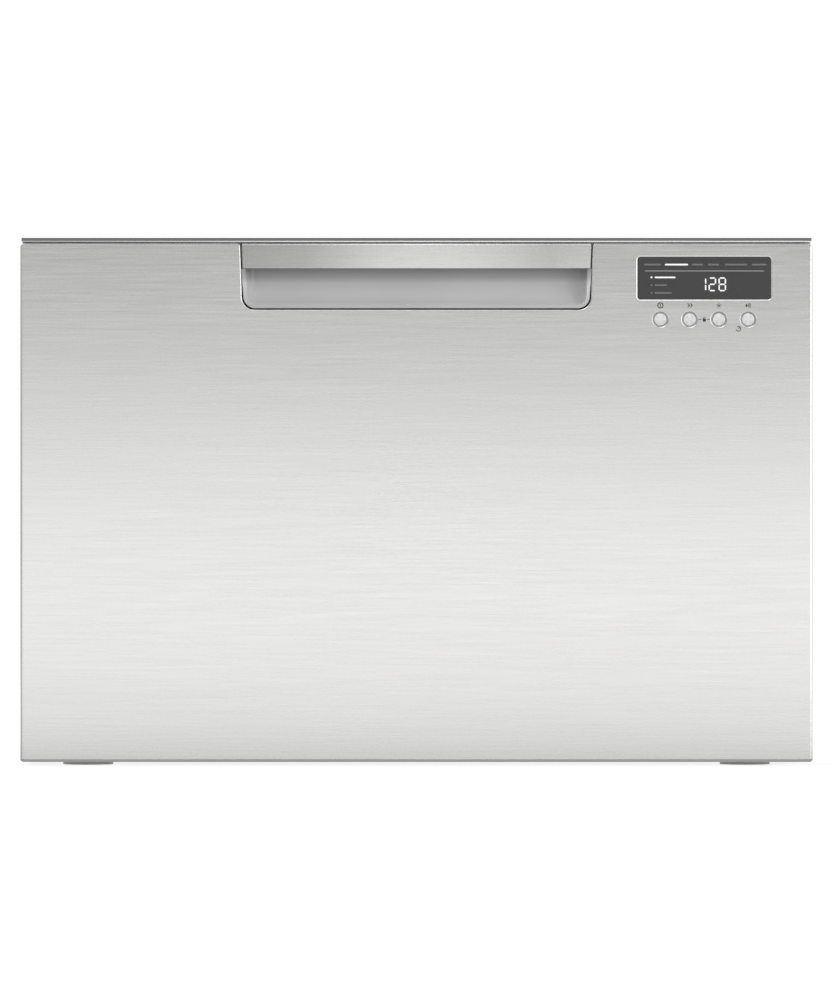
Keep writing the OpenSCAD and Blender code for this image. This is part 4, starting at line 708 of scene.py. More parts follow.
def front_sheet():
    """The folded steel sheet, with the notch, the window and four button holes, all with rolled lips."""
    left, right = -FRONT_HALF, FRONT_HALF
    corner_r = 2.6 * MM
    top = SHEET_TOP - 0.65 * MM
    notch_foot = NOTCH_FOOT_Z - 0.6 * MM
    outline = rounded_path([
        (left, FRONT_FOOT, corner_r, OUTER_FOLD), (right, FRONT_FOOT, corner_r, OUTER_FOLD),
        (right, top, corner_r, TOP_FOLD), (NOTCH_TOP, top, 2.2 * MM, LIP_FOLD),
        (NOTCH_FOOT, notch_foot, NOTCH_R, FOOT_FOLD), (-NOTCH_FOOT, notch_foot, NOTCH_R, LIP_FOLD),
        (-NOTCH_TOP, top, 2.2 * MM, TOP_FOLD), (left, top, corner_r, OUTER_FOLD)])
    window = rounded_rect((CONTROL_X, LENS_Z), LENS_W + 2 * WINDOW_GAP, LENS_H + 2 * WINDOW_GAP, LENS_R)
    paths = [outline, hole_path(window, WINDOW_FOLD)]
    for i in range(len(BUTTONS)):
        paths.append(hole_path(circle((button_x(i), BUTTON_Z), BUTTON_HOLE_R, 40), BUTTON_FOLD))
    bm = bmesh.new()
    rear_edges, face_edges = [], []
    for path in paths:
        made = loft(bm, [inset_ring(path, profile) for profile in fold_profiles()])
        rear_edges += made[0]
        face_edges += made[-1]
    for edges in (face_edges, rear_edges):
        filled(bm, edges, 1)
    return piece(bm, "front_sheet", "drawer", "brushed_steel_front", ["front_panel"])


def button_x(i):
    """Middle of a button, counted from the left."""
    return CONTROL_X + (i - (len(BUTTONS) - 1) / 2) * BUTTON_PITCH


def top_strip():
    """The trim along the top, with its tongue behind the sheet."""
    low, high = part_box("top_trim")
    tongue = FACE_Y + 17 * MM
    section = [(low.y + 0.11 * MM, TRIM_FOOT), (low.y, TRIM_FOOT + TRIM_EDGE), (low.y, high.z),
               (high.y, high.z), (high.y, TRIM_FOOT), (tongue + 1.5 * MM, TRIM_FOOT),
               (tongue + 1.5 * MM, low.z), (tongue, low.z), (tongue, TRIM_FOOT)]
    bm = prism(section, low.x, high.x)
    return piece(bm, "top_strip", "drawer", "trim_metal", ["top_trim"])


BAR_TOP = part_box("handle_bar")[1].z
BAR_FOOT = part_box("handle_bar")[0].z
BAR_T = 1.6 * MM
SCOOP_D = 15.5 * MM


def pull_bar():
    """The steel bar: folded back along its top, hemmed along its foot, with eased edges."""
    face = FACE_Y + SKIN
    lean = 0.75 * MM
    top = BAR_TOP - 0.25 * MM
    section = [(face + lean, BAR_FOOT), (face, top), (FACE_Y + SCOOP_D, top),
               (FACE_Y + SCOOP_D, BAR_TOP - BAR_T),
               (FACE_Y + BAR_T, BAR_TOP - BAR_T), (FACE_Y + BAR_T, BAR_FOOT + BAR_T),
               (FACE_Y + 4.6 * MM, BAR_FOOT + BAR_T), (FACE_Y + 4.6 * MM, BAR_FOOT)]
    bm = prism(section, -BAR_HALF, BAR_HALF)
    for vert in bm.verts:
        if vert.co.z < (BAR_FOOT + BAR_TOP) / 2:
            vert.co.x -= math.copysign(0.6 * MM, vert.co.x)
        if vert.co.y > FACE_Y + BAR_T + 0.1 * MM:
            vert.co.x -= math.copysign(4 * MM, vert.co.x)
    front = [e for e in bm.edges if all(v.co.y < face + lean + 0.1 * MM for v in e.verts)]
    rounded(bm, front, 0.55 * MM, 4)
    return piece(bm, "pull_bar", "drawer", "brushed_steel_front", ["handle_bar"], FINISHES["handle_steel"])


CUP_SETBACK = 1.2 * MM
CUP_FLANGE = 2.7 * MM
CUP_T = 1.8 * MM
CUP_TOP = BAR_TOP - BAR_T - SEAT


def notch_path(inset, top, foot_rise=0.0, steps=8):
    """The notch's outline drawn in by inset: down its right side, round its foot and up its left."""
    foot = NOTCH_FOOT_Z + inset + foot_rise
    half, half_top = NOTCH_FOOT - inset, NOTCH_TOP - inset
    radius = max(NOTCH_R - inset, 2 * MM)
    path = [Vector((half_top, top))]
    for sign, start in ((1, 0), (-1, -90)):
        middle = Vector((sign * (half - radius), foot + radius))
        for k in range(steps + 1):
            a = math.radians(start - 90 * k / steps)
            path.append(middle + Vector((math.cos(a), math.sin(a))) * radius)
    return path + [Vector((-half_top, top))]


def finger_cup():
    """The moulded scoop, its floor rising in a quarter round to its rear, and its flange below the bar."""
    inner = NOTCH_GAP + CUP_FLANGE
    front = BAR_T + SEAT
    roof = 0.6 * MM
    hair = 0.02 * MM
    scoop_rise, side_draw = 19 * MM, 6 * MM
    scoop_steps = 12
    shell = [(NOTCH_GAP, 0, SCOOP_D + CUP_T, CUP_TOP), (NOTCH_GAP, 0, front, CUP_TOP)]
    scoop = []
    first = math.degrees(math.asin(front / SCOOP_D))
    for k in range(scoop_steps + 1):
        a = math.radians(first + (90 - first) * k / scoop_steps)
        curl = 1 - math.cos(a)
        scoop.append((inner + hair + side_draw * curl, (scoop_rise - side_draw) * curl, SCOOP_D * math.sin(a),
                      CUP_TOP - roof))
    bm = bmesh.new()
    outer, hollow = [loft(bm, [[(x, FACE_Y + depth, z) for x, z in notch_path(inset, top, rise)]
                               for inset, rise, depth, top in rings]) for rings in (shell, scoop)]
    for end in (outer[0], hollow[-1]):
        bmesh.ops.edgeloop_fill(bm, edges=end)
    filled(bm, outer[-1] + hollow[0], 1)
    lip = [(NOTCH_GAP, front + SEAT), (NOTCH_GAP, CUP_SETBACK + 0.4 * MM),
           (NOTCH_GAP + 0.12 * MM, CUP_SETBACK + 0.12 * MM),
           (NOTCH_GAP + 0.4 * MM, CUP_SETBACK), (inner - 1.0 * MM, CUP_SETBACK),
           (inner - 0.7 * MM, CUP_SETBACK - 0.2 * MM),
           (inner - 0.3 * MM, CUP_SETBACK - 0.2 * MM), (inner, CUP_SETBACK + 0.1 * MM), (inner, front + SEAT)]
    flange = swept(notch_path(0, BAR_FOOT - SEAT), [(-inset, FACE_Y + depth) for inset, depth in lip])
    return piece(joined(bm, flange), "finger_cup", "drawer", "cup_plastic", ["handle_cup"])


def window_lens():
    """The smoked window with its eased rim, and the flange that holds it behind the sheet."""
    half_w, half_h = LENS_W / 2, LENS_H / 2
    flange = 1.8 * MM
    face = block((CONTROL_X - half_w, FACE_Y + 0.5 * MM, LENS_Z - half_h),
                 (CONTROL_X + half_w, FACE_Y + SHEET + 0.1 * MM, LENS_Z + half_h), corner=1.7 * MM,
                 edge=0.35 * MM, ends=(-1,), steps=6)
    rear = block((CONTROL_X - half_w - flange, FACE_Y + SHEET, LENS_Z - half_h - flange),
                 (CONTROL_X + half_w + flange, FACE_Y + SHEET + 1.5 * MM, LENS_Z + half_h + flange),
                 corner=2 * MM)
    return piece(joined(face, rear), "window_lens", "drawer", "lens", ["display_lens"])


def mark_bar(x0, x1, z, height, corner=None):
    """A plain bar on the window, from x0 to x1 mm of the window's middle."""
    return block((CONTROL_X + x0 * MM, LENS_FACE - 0.06 * MM, LENS_Z + (z - height / 2) * MM),
                 (CONTROL_X + x1 * MM, LENS_FACE + 0.1 * MM, LENS_Z + (z + height / 2) * MM),
                 corner=(corner or height * 0.3) * MM, steps=2)


LENS_FACE = FACE_Y + 0.5 * MM
# Plain bars stand along the top of the window: (left end, right end), in mm from its middle
PROGRAM_BARS = [(-45.5, -32.7), (-29.7, -12.3), (-9.3, -1.0), (2.8, 11.1), (15.6, 32.3), (36.0, 47.0)]
CHOSEN_PROGRAM = 1
OPTION_BARS = [(-37.4, -21.8), (-37.4, -28.2), (-37.4, -24.6)]
OPTION_ZS = [0.7, -5.1, -11.0]
OPTION_DOT = (-40.6, -39.2)


def seven_segments(middle_x, middle_z, lit):
    """One figure of the display, in bars: top, upper and lower right, foot, lower and upper left, middle."""
    half_w, half_h, stroke = 2.35, 4.75, 1.05
    places = [(0, half_h, True), (half_w, half_h / 2, False), (half_w, -half_h / 2, False),
              (0, -half_h, True),
              (-half_w, -half_h / 2, False), (-half_w, half_h / 2, False), (0, 0, True)]
    parts = []
    for segment, (x, z, level) in enumerate(places):
        if segment in lit:
            reach = half_w - 0.5 if level else half_h / 2 - 0.45
            x0, x1 = (x - reach, x + reach) if level else (x - stroke / 2, x + stroke / 2)
            height = stroke if level else 2 * reach
            parts.append(mark_bar(middle_x + x0, middle_x + x1, middle_z + z, height, corner=0.35))
    return parts


def display_marks():
    """Lit and dim marks in the window: bars, dots, a line and a plain number."""
    lit, dim = [], []
    for i, (x0, x1) in enumerate(PROGRAM_BARS):
        (lit if i == CHOSEN_PROGRAM else dim).append(mark_bar(x0, x1, 10.4, 1.25))
    ruled = mark_bar(-44.8, 45.1, 5.6, 0.7)
    for i, ((x0, x1), z) in enumerate(zip(OPTION_BARS, OPTION_ZS)):
        kind = lit if i == 0 else dim
        kind.append(mark_bar(x0, x1, z, 1.15))
        kind.append(mark_bar(*OPTION_DOT, z, 1.3))
    figures = {1: (1, 2), 2: (0, 1, 6, 4, 3), 8: (0, 1, 2, 3, 4, 5, 6)}
    for x, figure in ((-1.3, 1), (6.1, 2), (13.6, 8)):
        lit += seven_segments(x, -4.5, figures[figure])
    piece(joined(*lit), "lit_marks", "drawer", "lens", finish=LIT_MARK, even=False)
    piece(joined(*dim), "dim_marks", "drawer", "lens", finish=DIM_MARK, even=False)
    piece(ruled, "ruled_line", "drawer", "lens", finish=LINE_MARK, even=False)


def spun_button(i, name):
    """A sprung button with a turned face, its stem behind it and the shoulder that keeps it in."""
    low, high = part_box(name)
    rim = 0.45 * MM
    dish = 0.08 * MM
    shoulder = FACE_Y + SHEET + 2.2 * MM - low.y
    rings = [(0, dish), (BUTTON_R * 0.55, dish * 0.7), (BUTTON_R - rim - 0.25 * MM, dish * 0.3),
             (BUTTON_R - rim, 0)]
    rings += [(BUTTON_R - rim + rim * math.sin(a), rim * (1 - math.cos(a)))
              for a in angles(22, 45, 68, 90)]
    collar_r, stem_r = BUTTON_R + 1.6 * MM, 1.5 * MM
    rings += [(BUTTON_R, shoulder), (collar_r, shoulder + 0.05 * MM), (collar_r, shoulder + 1 * MM),
              (stem_r, shoulder + 1 * MM), (stem_r, high.y - low.y), (0, high.y - low.y)]
    middle = Vector((button_x(i), low.y, BUTTON_Z))
    bm = turned(rings, middle, axis=1, steps=56)
    disc = bm.loops.layers.uv.new("disc")
    for face in bm.faces:
        for corner in face.loops:
            spot = (corner.vert.co - middle) / BUTTON_R
            corner[disc].uv = (spot.x, spot.z)
    return piece(bm, "spun_" + name, name, "button_metal", [name])


def button_collars():
    """Light collars round the buttons, sloping in from the sheet's holes to the caps."""
    outer, inner = BUTTON_HOLE_R - 0.05 * MM, BUTTON_R + 0.3 * MM
    section = [(outer, 0.3 * MM), (inner, 0.85 * MM), (inner, 0.95 * MM), (outer, 0.95 * MM),
               (outer, 0.3 * MM)]
    rings = [turned(section, (button_x(i), FACE_Y, BUTTON_Z), axis=1, steps=40) for i in range(len(BUTTONS))]
    return piece(joined(*rings), "button_collars", "drawer", "trim_metal", finish=FINISHES["collar"],
                 sharp=25)


def stroke(x0, z0, x1, z1, width):
    """A printed line on the face, between two points given in mm from the controls' middle."""
    start, end = Vector((x0, z0)), Vector((x1, z1))
    length = (end - start).length
    bar = block((-width / 2 * MM, 0, -width / 2 * MM), ((length + width / 2) * MM, 2 * SKIN, width / 2 * MM))
    turned_by(bar, -math.degrees(math.atan2(z1 - z0, x1 - x0)), "Y")
    return moved(bar, (CONTROL_X + x0 * MM, FACE_Y, BUTTON_Z + z0 * MM))


def printed_ring(x, z, radius, width, start=0.0, sweep=360.0):
    """A printed ring or arc, its middle in mm from the controls' middle."""
    inner, outer = (radius - width / 2) * MM, (radius + width / 2) * MM
    section = [(inner, 0), (outer, 0), (outer, 2 * SKIN), (inner, 2 * SKIN)]
    if sweep == 360:
        section.append(section[0])
    ring = turned(section, (0, 0, 0), axis=1, steps=28, sweep=sweep)
    turned_by(ring, -start, "Y")
    return moved(ring, (CONTROL_X + x * MM, FACE_Y, BUTTON_Z + z * MM))


def printed_shape(points):
    """A printed solid shape, its points in mm from the controls' middle."""
    outline = [(CONTROL_X + x * MM, BUTTON_Z + z * MM) for x, z in points]
    return prism(outline, FACE_Y, FACE_Y + 2 * SKIN, axis=1)


def printed_symbols():
    """Plain symbols by the buttons: on and off, forward, star, run and pause, lock and timer."""
    pitch = BUTTON_PITCH / MM
    above = 10.6
    xs = [(i - 1.5) * pitch for i in range(4)]
    parts = [printed_ring(xs[0], above, 1.95, 0.7), stroke(xs[0], above - 0.7, xs[0], above + 0.7, 0.6)]
    for shift in (-1.3, 0.7):
        tip = xs[1] + shift + 1.2
        parts += [stroke(tip, above, tip - 1.2, above + 1.3, 0.6),
                  stroke(tip, above, tip - 1.2, above - 1.3, 0.6)]
    for k in range(5):
        a = math.radians(90 + 72 * k)
        parts.append(stroke(xs[2], above, xs[2] + 1.8 * math.cos(a), above + 1.8 * math.sin(a), 0.42))
    run = xs[3] - 1.9
    parts.append(printed_shape([(run, above - 1.5), (run + 1.9, above), (run, above + 1.5)]))
    for x in (run + 2.4, run + 3.4):
        parts.append(stroke(x, above - 1.2, x, above + 1.2, 0.6))
    parts.append(printed_shape([(-1.1, -1.7), (1.1, -1.7), (1.1, 0.5), (-1.1, 0.5)]))
    parts.append(printed_ring(0, 0.6, 0.75, 0.55, start=180, sweep=180))
    for side in (-1, 1):
        parts.append(stroke(side * 2.3, 0, side * 3.7, 0, 0.5))
    timer_x, timer_z = 25.8, -7.1
    parts.append(printed_ring(timer_x, timer_z, 1.75, 0.55, start=120, sweep=290))
    parts.append(stroke(timer_x, timer_z, timer_x + 1.0, timer_z + 1.1, 0.5))
    return piece(joined(*parts), "printed_symbols", "drawer", "brushed_steel_front", finish=SYMBOL_INK,
                 even=False)


front_sheet()
top_strip()
pull_bar()
finger_cup()
window_lens()
display_marks()
for i, name in enumerate(BUTTONS):
    spun_button(i, name)
button_collars()
printed_symbols()

# ------------------------------------------------------------------ tub and dispenser pocket

WASH_Y = -20 * MM
TUB_HALF, TUB_FRONT, TUB_REAR = 262 * MM, -262 * MM, 222 * MM
TUB_WALL, FRONT_WALL, TUB_R = 3 * MM, 10 * MM, 34 * MM
SUMP_R = 94 * MM
DISPENSER_LOW, DISPENSER_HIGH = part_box("dispenser_body")


def level_ring(half, front, rear, radius, z):
    """A rounded ring round the drawer's middle, at a height."""
    ring = rounded_rect((0, (front + rear) / 2), 2 * half, rear - front, radius)
    return [(x, y, z) for x, y in ring]


def tub_shell():
    """The moulded tub: a filleted basin with an eased rim, the dispenser's pocket and the front's bosses."""
    low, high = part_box("tub")
    floor_top = low.z + TUB_WALL
    fillet, ease, rim_t = 12 * MM, 2.5 * MM, 5 * MM

    def basin(inset, z):
        return level_ring(TUB_HALF - TUB_WALL - inset, TUB_FRONT + FRONT_WALL + inset,
                          TUB_REAR - TUB_WALL - inset,
                          TUB_R - TUB_WALL - inset, z)

    def rim(inset, z):
        return level_ring(high.x - inset, TUB_FRONT + inset, high.y - inset, 16 * MM - inset, z)

    def outer(z):
        front_r = 3 * MM
        return level_ring(TUB_HALF, TUB_FRONT + 0.5 * MM, TUB_REAR, (front_r, TUB_R, TUB_R, front_r), z)

    bm = bmesh.new()
    turns = angles(0, 18, 36, 54, 72, 90)
    inside = loft(bm, [basin(fillet * (1 - math.sin(a)), floor_top + fillet * (1 - math.cos(a)))
                       for a in turns]
                  + [basin(-ease * (1 - math.cos(a)), high.z - ease + ease * math.sin(a)) for a in turns])
    edge = loft(bm, [rim(1.2 * MM, high.z), rim(0.35 * MM, high.z - 0.35 * MM), rim(0, high.z - 1.2 * MM),
                     rim(0, high.z - rim_t)])
    outside = loft(bm, [outer(high.z - rim_t), outer(low.z)])
    bowl = [[(x, y, z) for x, y in circle((0, WASH_Y), SUMP_R, 64)] for z in (floor_top, low.z)]
    mouth = loft(bm, bowl)
    for edges in (inside[-1] + edge[0], edge[-1] + outside[0], inside[0] + mouth[0], outside[-1] + mouth[-1]):
        filled(bm, edges, 2)
    bm.normal_update()
    wall_y = TUB_FRONT + FRONT_WALL
    wall = max((f for f in bm.faces if abs(f.calc_center_median().y - wall_y) < 1e-6),
               key=lambda f: f.calc_area())
    round_wall = wall.edges[:]
    bmesh.ops.delete(bm, geom=[wall], context="FACES_ONLY")
    middle = (DISPENSER_LOW + DISPENSER_HIGH) / 2
    pocket = rounded_rect((middle.x, middle.z), 160 * MM, 70 * MM, 2 * MM)
    sunk = loft(bm, [[(x, y, z) for x, z in pocket] for y in (wall_y, TUB_FRONT + 2 * MM)])
    filled(bm, round_wall + sunk[0], 1)
    bmesh.ops.edgeloop_fill(bm, edges=sunk[-1])
    boss_d = TUB_FRONT - low.y + 1 * MM
    boss = [(2.2 * MM, 0), (9.4 * MM, 0), (10 * MM, 0.6 * MM), (10 * MM, boss_d), (2.2 * MM, boss_d),
            (2.2 * MM, 0)]
    places = ((240 * MM, 97 * MM), (240 * MM, 336 * MM), (90 * MM, 97 * MM))
    spots = [(side * x, z) for side in (-1, 1) for x, z in places]
    bosses = [turned(boss, (x, low.y, z), axis=1, steps=24) for x, z in spots]
    return piece(joined(bm, *bosses), "tub_shell", "drawer", "tub_plastic", ["tub"])


def spray_arm_shell():
    """The hollow arm: two waisted blades with soft edges, the hub that turns on the post, and ten nozzles."""
    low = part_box("spray_arm")[0]
    reach, top = 200 * MM, 100 * MM
    root_x, tip_r = 17 * MM, 13 * MM
    blade = [(root_x, 15.5 * MM), (32 * MM, 19 * MM), (60 * MM, 19.5 * MM), (110 * MM, 17 * MM),
             (reach - tip_r, tip_r)]
    blade += [(reach - tip_r + tip_r * math.sin(a), tip_r * math.cos(a)) for a in angles(25, 50, 70, 84)]
    parts = []
    for side in (1, -1):
        bm = bmesh.new()
        rings = []
        for x, half in blade:
            section = rounded_rect((0, (low.z + top) / 2), 2 * half, top - low.z, min(3.5 * MM, half * 0.9),
                                   steps=3)
            rings.append([(side * x, WASH_Y + y, z) for y, z in section])
        loft(bm, rings, capped=True)
        bmesh.ops.recalc_face_normals(bm, faces=bm.faces)
        parts.append(bm)
        nozzle = [(0, -1 * MM), (4 * MM, -1 * MM), (4 * MM, 0.6 * MM), (3.4 * MM, 1.2 * MM),
                  (1.9 * MM, 1.2 * MM), (1.7 * MM, 0.9 * MM), (1.7 * MM, 0.1 * MM), (0, 0.1 * MM)]
        for i in range(5):
            parts.append(turned(nozzle, (side * (48 + 33 * i) * MM, WASH_Y + side * 4 * MM, top), steps=20))
    bore, hub = 15.1 * MM, 24 * MM
    ring = [(bore, low.z), (hub - 1 * MM, low.z), (hub, low.z + 1 * MM), (hub, top - 1 * MM),
            (hub - 1 * MM, top),
            (bore + 2 * MM, top), (bore + 1 * MM, top - 0.6 * MM), (bore, top - 0.6 * MM), (bore, low.z)]
    parts.append(turned(ring, (0, WASH_Y, 0), steps=56))
    return piece(joined(*parts), "spray_arm_shell", "spray_arm", "arm_plastic", ["spray_arm"])


# ------------------------------------------------------------------ racks and basket

RACK_HALF, RACK_FRONT, RACK_REAR = 245 * MM, -238 * MM, 205 * MM
RACK_Z, RACK_TOP = 113 * MM, 197 * MM
LAYER = 3.5 * MM
WIRE_R, TINE_R = 2 * MM, 1.5 * MM
EYE_YS = (-148 * MM, 115 * MM)
SHELF_Z = 254 * MM


def wire_basket():
    """The rack: bent floor wires that rise into its walls, three hoops, legs, and the cup shelves' posts."""
    bend = 8 * MM
    parts = []
    for i in range(1, 12):
        y = RACK_FRONT + i * (RACK_REAR - RACK_FRONT) / 12
        path = [(-RACK_HALF, y, RACK_TOP), (-RACK_HALF, y, RACK_Z), (RACK_HALF, y, RACK_Z),
                (RACK_HALF, y, RACK_TOP)]
        parts.append(tube(bent(path, bend), WIRE_R))
    for i in range(1, 14):
        x, z = -RACK_HALF + i * 2 * RACK_HALF / 14, RACK_Z + LAYER
        path = [(x, RACK_FRONT, RACK_TOP), (x, RACK_FRONT, z), (x, RACK_REAR, z), (x, RACK_REAR, RACK_TOP)]
        parts.append(tube(bent(path, bend), WIRE_R))
    for z in (RACK_Z + LAYER, (RACK_Z + RACK_TOP) / 2, RACK_TOP):
        parts.append(tube(level_ring(RACK_HALF, RACK_FRONT, RACK_REAR, 10 * MM, z), WIRE_R, closed=True))
    foot = [(0, 0), (3.6 * MM, 0), (4 * MM, 0.4 * MM), (4 * MM, 5 * MM), (2.6 * MM, 6.5 * MM), (0, 6.5 * MM)]
    for side in (-1, 1):
        for y in (RACK_FRONT, RACK_REAR):
            x = side * 223 * MM
            parts += [tube([(x, y, 80 * MM), (x, y, RACK_Z + LAYER)], WIRE_R),
                      turned(foot, (x, y, 78.1 * MM), steps=20)]
        for y in EYE_YS:
            x = side * RACK_HALF
            parts.append(tube([(x - side * 4.05 * MM, y, RACK_Z),
                               (x - side * 4.05 * MM, y, SHELF_Z - 4 * MM)], WIRE_R))
            eye = rounded_rect((x, SHELF_Z - 1 * MM), 12 * MM, 12 * MM, 3 * MM)
            bore = circle((x, SHELF_Z), WIRE_R + 0.15 * MM, 24)
            parts.append(pierced(eye, [bore], y - 4 * MM, y + 4 * MM, 1))
            rest = sorted((x - side * 36.7 * MM, x - side * 3 * MM))
            parts.append(block((rest[0], y - 2 * MM, SHELF_Z - 7 * MM),
                               (rest[1], y + 2 * MM, SHELF_Z - 2.8 * MM),
                               axis=0, corner=0.8 * MM, steps=2))
    return piece(joined(*parts), "wire_basket", "drawer", "rack_wire", ["base_rack"])


def tine_rows():
    """Rows of upright tines for the plates, each welded on its own wire."""
    low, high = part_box("plate_tines")
    parts = []
    for row in range(12):
        y = RACK_FRONT + (25 + 32 * row) * MM
        parts.append(tube([(low.x, y, low.z + TINE_R), (high.x, y, low.z + TINE_R)], TINE_R, sides=8))
        for i in range(11):
            x = low.x + (6 + 30 * i) * MM
            parts.append(tube([(x, y, low.z + TINE_R), (x, y, high.z)], TINE_R, sides=8))
    return piece(joined(*parts), "tine_rows", "drawer", "rack_wire", ["plate_tines"])


def shelf_wires(side):
    """A folding cup shelf on its pivot rod."""
    inner, outer = RACK_HALF - 96 * MM, RACK_HALF
    first, last = EYE_YS[0] + 12 * MM, EYE_YS[1] - 12 * MM
    frame_path = [(outer, first, SHELF_Z), (inner, first, SHELF_Z), (inner, last, SHELF_Z),
                  (outer, last, SHELF_Z)]
    parts = [tube([(outer, EYE_YS[0] - 14 * MM, SHELF_Z), (outer, EYE_YS[1] + 14 * MM, SHELF_Z)], WIRE_R),
             tube(bent(frame_path, 6 * MM), TINE_R, sides=8)]
    for i in range(1, 8):
        y = first + i * (last - first) / 8
        parts.append(tube([(inner, y, SHELF_Z), (outer, y, SHELF_Z)], TINE_R, sides=8))
    for third in range(3):
        x = inner + third * 32 * MM
        parts.append(tube([(x, EYE_YS[0] - 8 * MM, SHELF_Z - 1 * MM),
                           (x, EYE_YS[1] + 8 * MM, SHELF_Z - 1 * MM)],
                          TINE_R, sides=8))
    shelf = joined(*parts)
    name = "right" if side > 0 else "left"
    body = "cup_rack_" + name
    return piece(shelf if side > 0 else mirrored(shelf), "shelf_wires_" + name, body, "rack_wire", [body])


def slotted(outline, slots, low, high, axis):
    """A moulded wall with round ended slots, given as (middle a, middle b, width, height)."""
    holes = [rounded_rect((a, b), w, h, min(w, h) * 0.45, steps=3) for a, b, w, h in slots]
    return pierced(outline, holes, low, high, axis)


def cutlery_cells():
    """The cutlery basket: slotted walls round six cells, an open grid floor, a bead, a handle."""
    low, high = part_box("cutlery_basket")
    wall = 2 * MM
    top = low.z + 108 * MM
    middle = (low + high) / 2
    cell_d = (high.y - low.y - wall) / 3
    cell_w = (high.x - low.x - wall) / 2
    slot_z, slot_h, slot_w, pitch = low.z + 47 * MM, 70 * MM, 5 * MM, 11 * MM
    parts = []
    side_wall = rounded_rect((middle.y, (low.z + top) / 2), high.y - low.y, top - low.z, 1 * MM, steps=2)
    side_slots = [(low.y + wall + j * cell_d + 7.5 * MM + k * pitch, slot_z, slot_w, slot_h)
                  for j in range(3) for k in range(4)]
    for i in range(3):
        x = low.x + i * cell_w
        parts.append(slotted(side_wall, side_slots, x, x + wall, 0))
    end_wall = rounded_rect((middle.x, (low.z + top) / 2), high.x - low.x, top - low.z, 1 * MM, steps=2)
    end_slots = [(low.x + wall + i * cell_w + 8 * MM + k * pitch, slot_z, slot_w, slot_h)
                 for i in range(2) for k in range(4)]
    for j in range(4):
        y = low.y + j * cell_d
        parts.append(slotted(end_wall, end_slots if j in (0, 3) else [], y, y + wall, 1))
    floor = rounded_rect((middle.x, middle.y), high.x - low.x, high.y - low.y, 1 * MM, steps=2)
    grid = [(low.x + wall + i * cell_w + (8 + 11 * k) * MM, low.y + wall + j * cell_d + 23.7 * MM,
             5 * MM, 40 * MM)
            for i in range(2) for j in range(3) for k in range(4)]
    parts.append(slotted(floor, grid, low.z, low.z + wall, 2))
    bead = rounded_rect((middle.x, middle.y), high.x - low.x, high.y - low.y, 2.5 * MM, steps=4)
    section = [(1.25 * MM + 1.6 * MM * math.cos(a), top - 1.6 * MM + 1.6 * MM * math.sin(a))
               for a in (2 * math.pi * k / 10 for k in range(10))]
    parts.append(swept(bead, section, axis=2, closed=True))
    grip_z = high.z - 4 * MM
    grip = bent([(middle.x, middle.y - 33 * MM, top - 14 * MM), (middle.x, middle.y - 33 * MM, grip_z),
                 (middle.x, middle.y + 33 * MM, grip_z), (middle.x, middle.y + 33 * MM, top - 14 * MM)],
                7 * MM)
    parts.append(tube(grip, 3.9 * MM, sides=14))
    return piece(joined(*parts), "cutlery_cells", "drawer", "basket_plastic", ["cutlery_basket"])


# ------------------------------------------------------------------ seals, hose and lid


def bulb_seal():
    """The rubber strip round the chassis opening: a foot, and the bulb that the drawer front closes on."""
    low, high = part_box("opening_seal")
    middle_x, half = high.x - 4.5 * MM, 4.5 * MM
    base = high.y - 0.8 * MM
    section = [(-half, high.y), (-half, base)]
    section += [(-3.4 * MM * math.cos(a), base - (base - low.y) * math.sin(a))
                for a in angles(*range(0, 181, 20))]
    section += [(half, base), (half, high.y)]
    top = high.z - half
    corners = ((middle_x, low.z), (middle_x, top), (-middle_x, top), (-middle_x, low.z))
    path = [Vector(p) for p in corners]
    return piece(swept(path, section, axis=1), "bulb_seal", "chassis", "seal_rubber", ["opening_seal"])


def lid_gasket():
    """The lid's seal: a foot in the lid and a soft bulb over the tub's rim."""
    low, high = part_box("lid_seal")
    width, foot_z = 6 * MM, high.z - 2.4 * MM
    section = [(0, high.z), (0, foot_z)]
    section += [(width / 2 - width * 0.46 * math.cos(a), foot_z - (foot_z - low.z) * math.sin(a))
                for a in angles(*range(0, 181, 18))]
    section += [(width, foot_z), (width, high.z)]
    middle = (low + high) / 2
    path = rounded_rect((middle.x, middle.y), high.x - low.x, high.y - low.y, 14 * MM)
    return piece(swept(path, section, axis=2, closed=True), "lid_gasket", "lid", "lid_seal_rubber",
                 ["lid_seal"])


HOSE_Z, HOSE_R = 58 * MM, 9 * MM


def evenly(path, step):
    """Points at even steps along a path."""
    spots, left = [path[0]], step
    for start, end in zip(path, path[1:]):
        run, done = (end - start).length, 0.0
        while run - done >= left:
            done += left
            spots.append(start.lerp(end, done / run))
            left = step
        left -= run - done
    return spots


def ribbed_hose():
    """The drain hose from the sump to the rear outlet: ribbed, with a plain cuff at each end."""
    route = [(118, -20), (195, -20), (195, 190), (-215, 190), (-215, 262)]
    path = evenly(bent([(x * MM, y * MM, HOSE_Z) for x, y in route], 26 * MM, steps=10), 1.2 * MM)
    cuff = 20
    last = len(path) - 1

    def rib(i):
        if min(i, last - i) < cuff:
            return 1.0
        return (1.0, 0.93, 0.85, 0.93)[i % 4]

    hose = piece(tube(path, HOSE_R, sides=18, swell=rib), "ribbed_hose", "", "hose_plastic", ["drain_hose"],
                 even=False)
    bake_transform(hose)
    return hose


# ------------------------------------------------------------------ chassis

CHASSIS_FRONT, BACK_Y = -264 * MM, 266 * MM
CHASSIS_FOOT, CHASSIS_TOP = 8 * MM, 396 * MM
CHASSIS_HALF = 297.5 * MM
WALL = 1 * MM
RIB_LIFT = 1.2 * MM


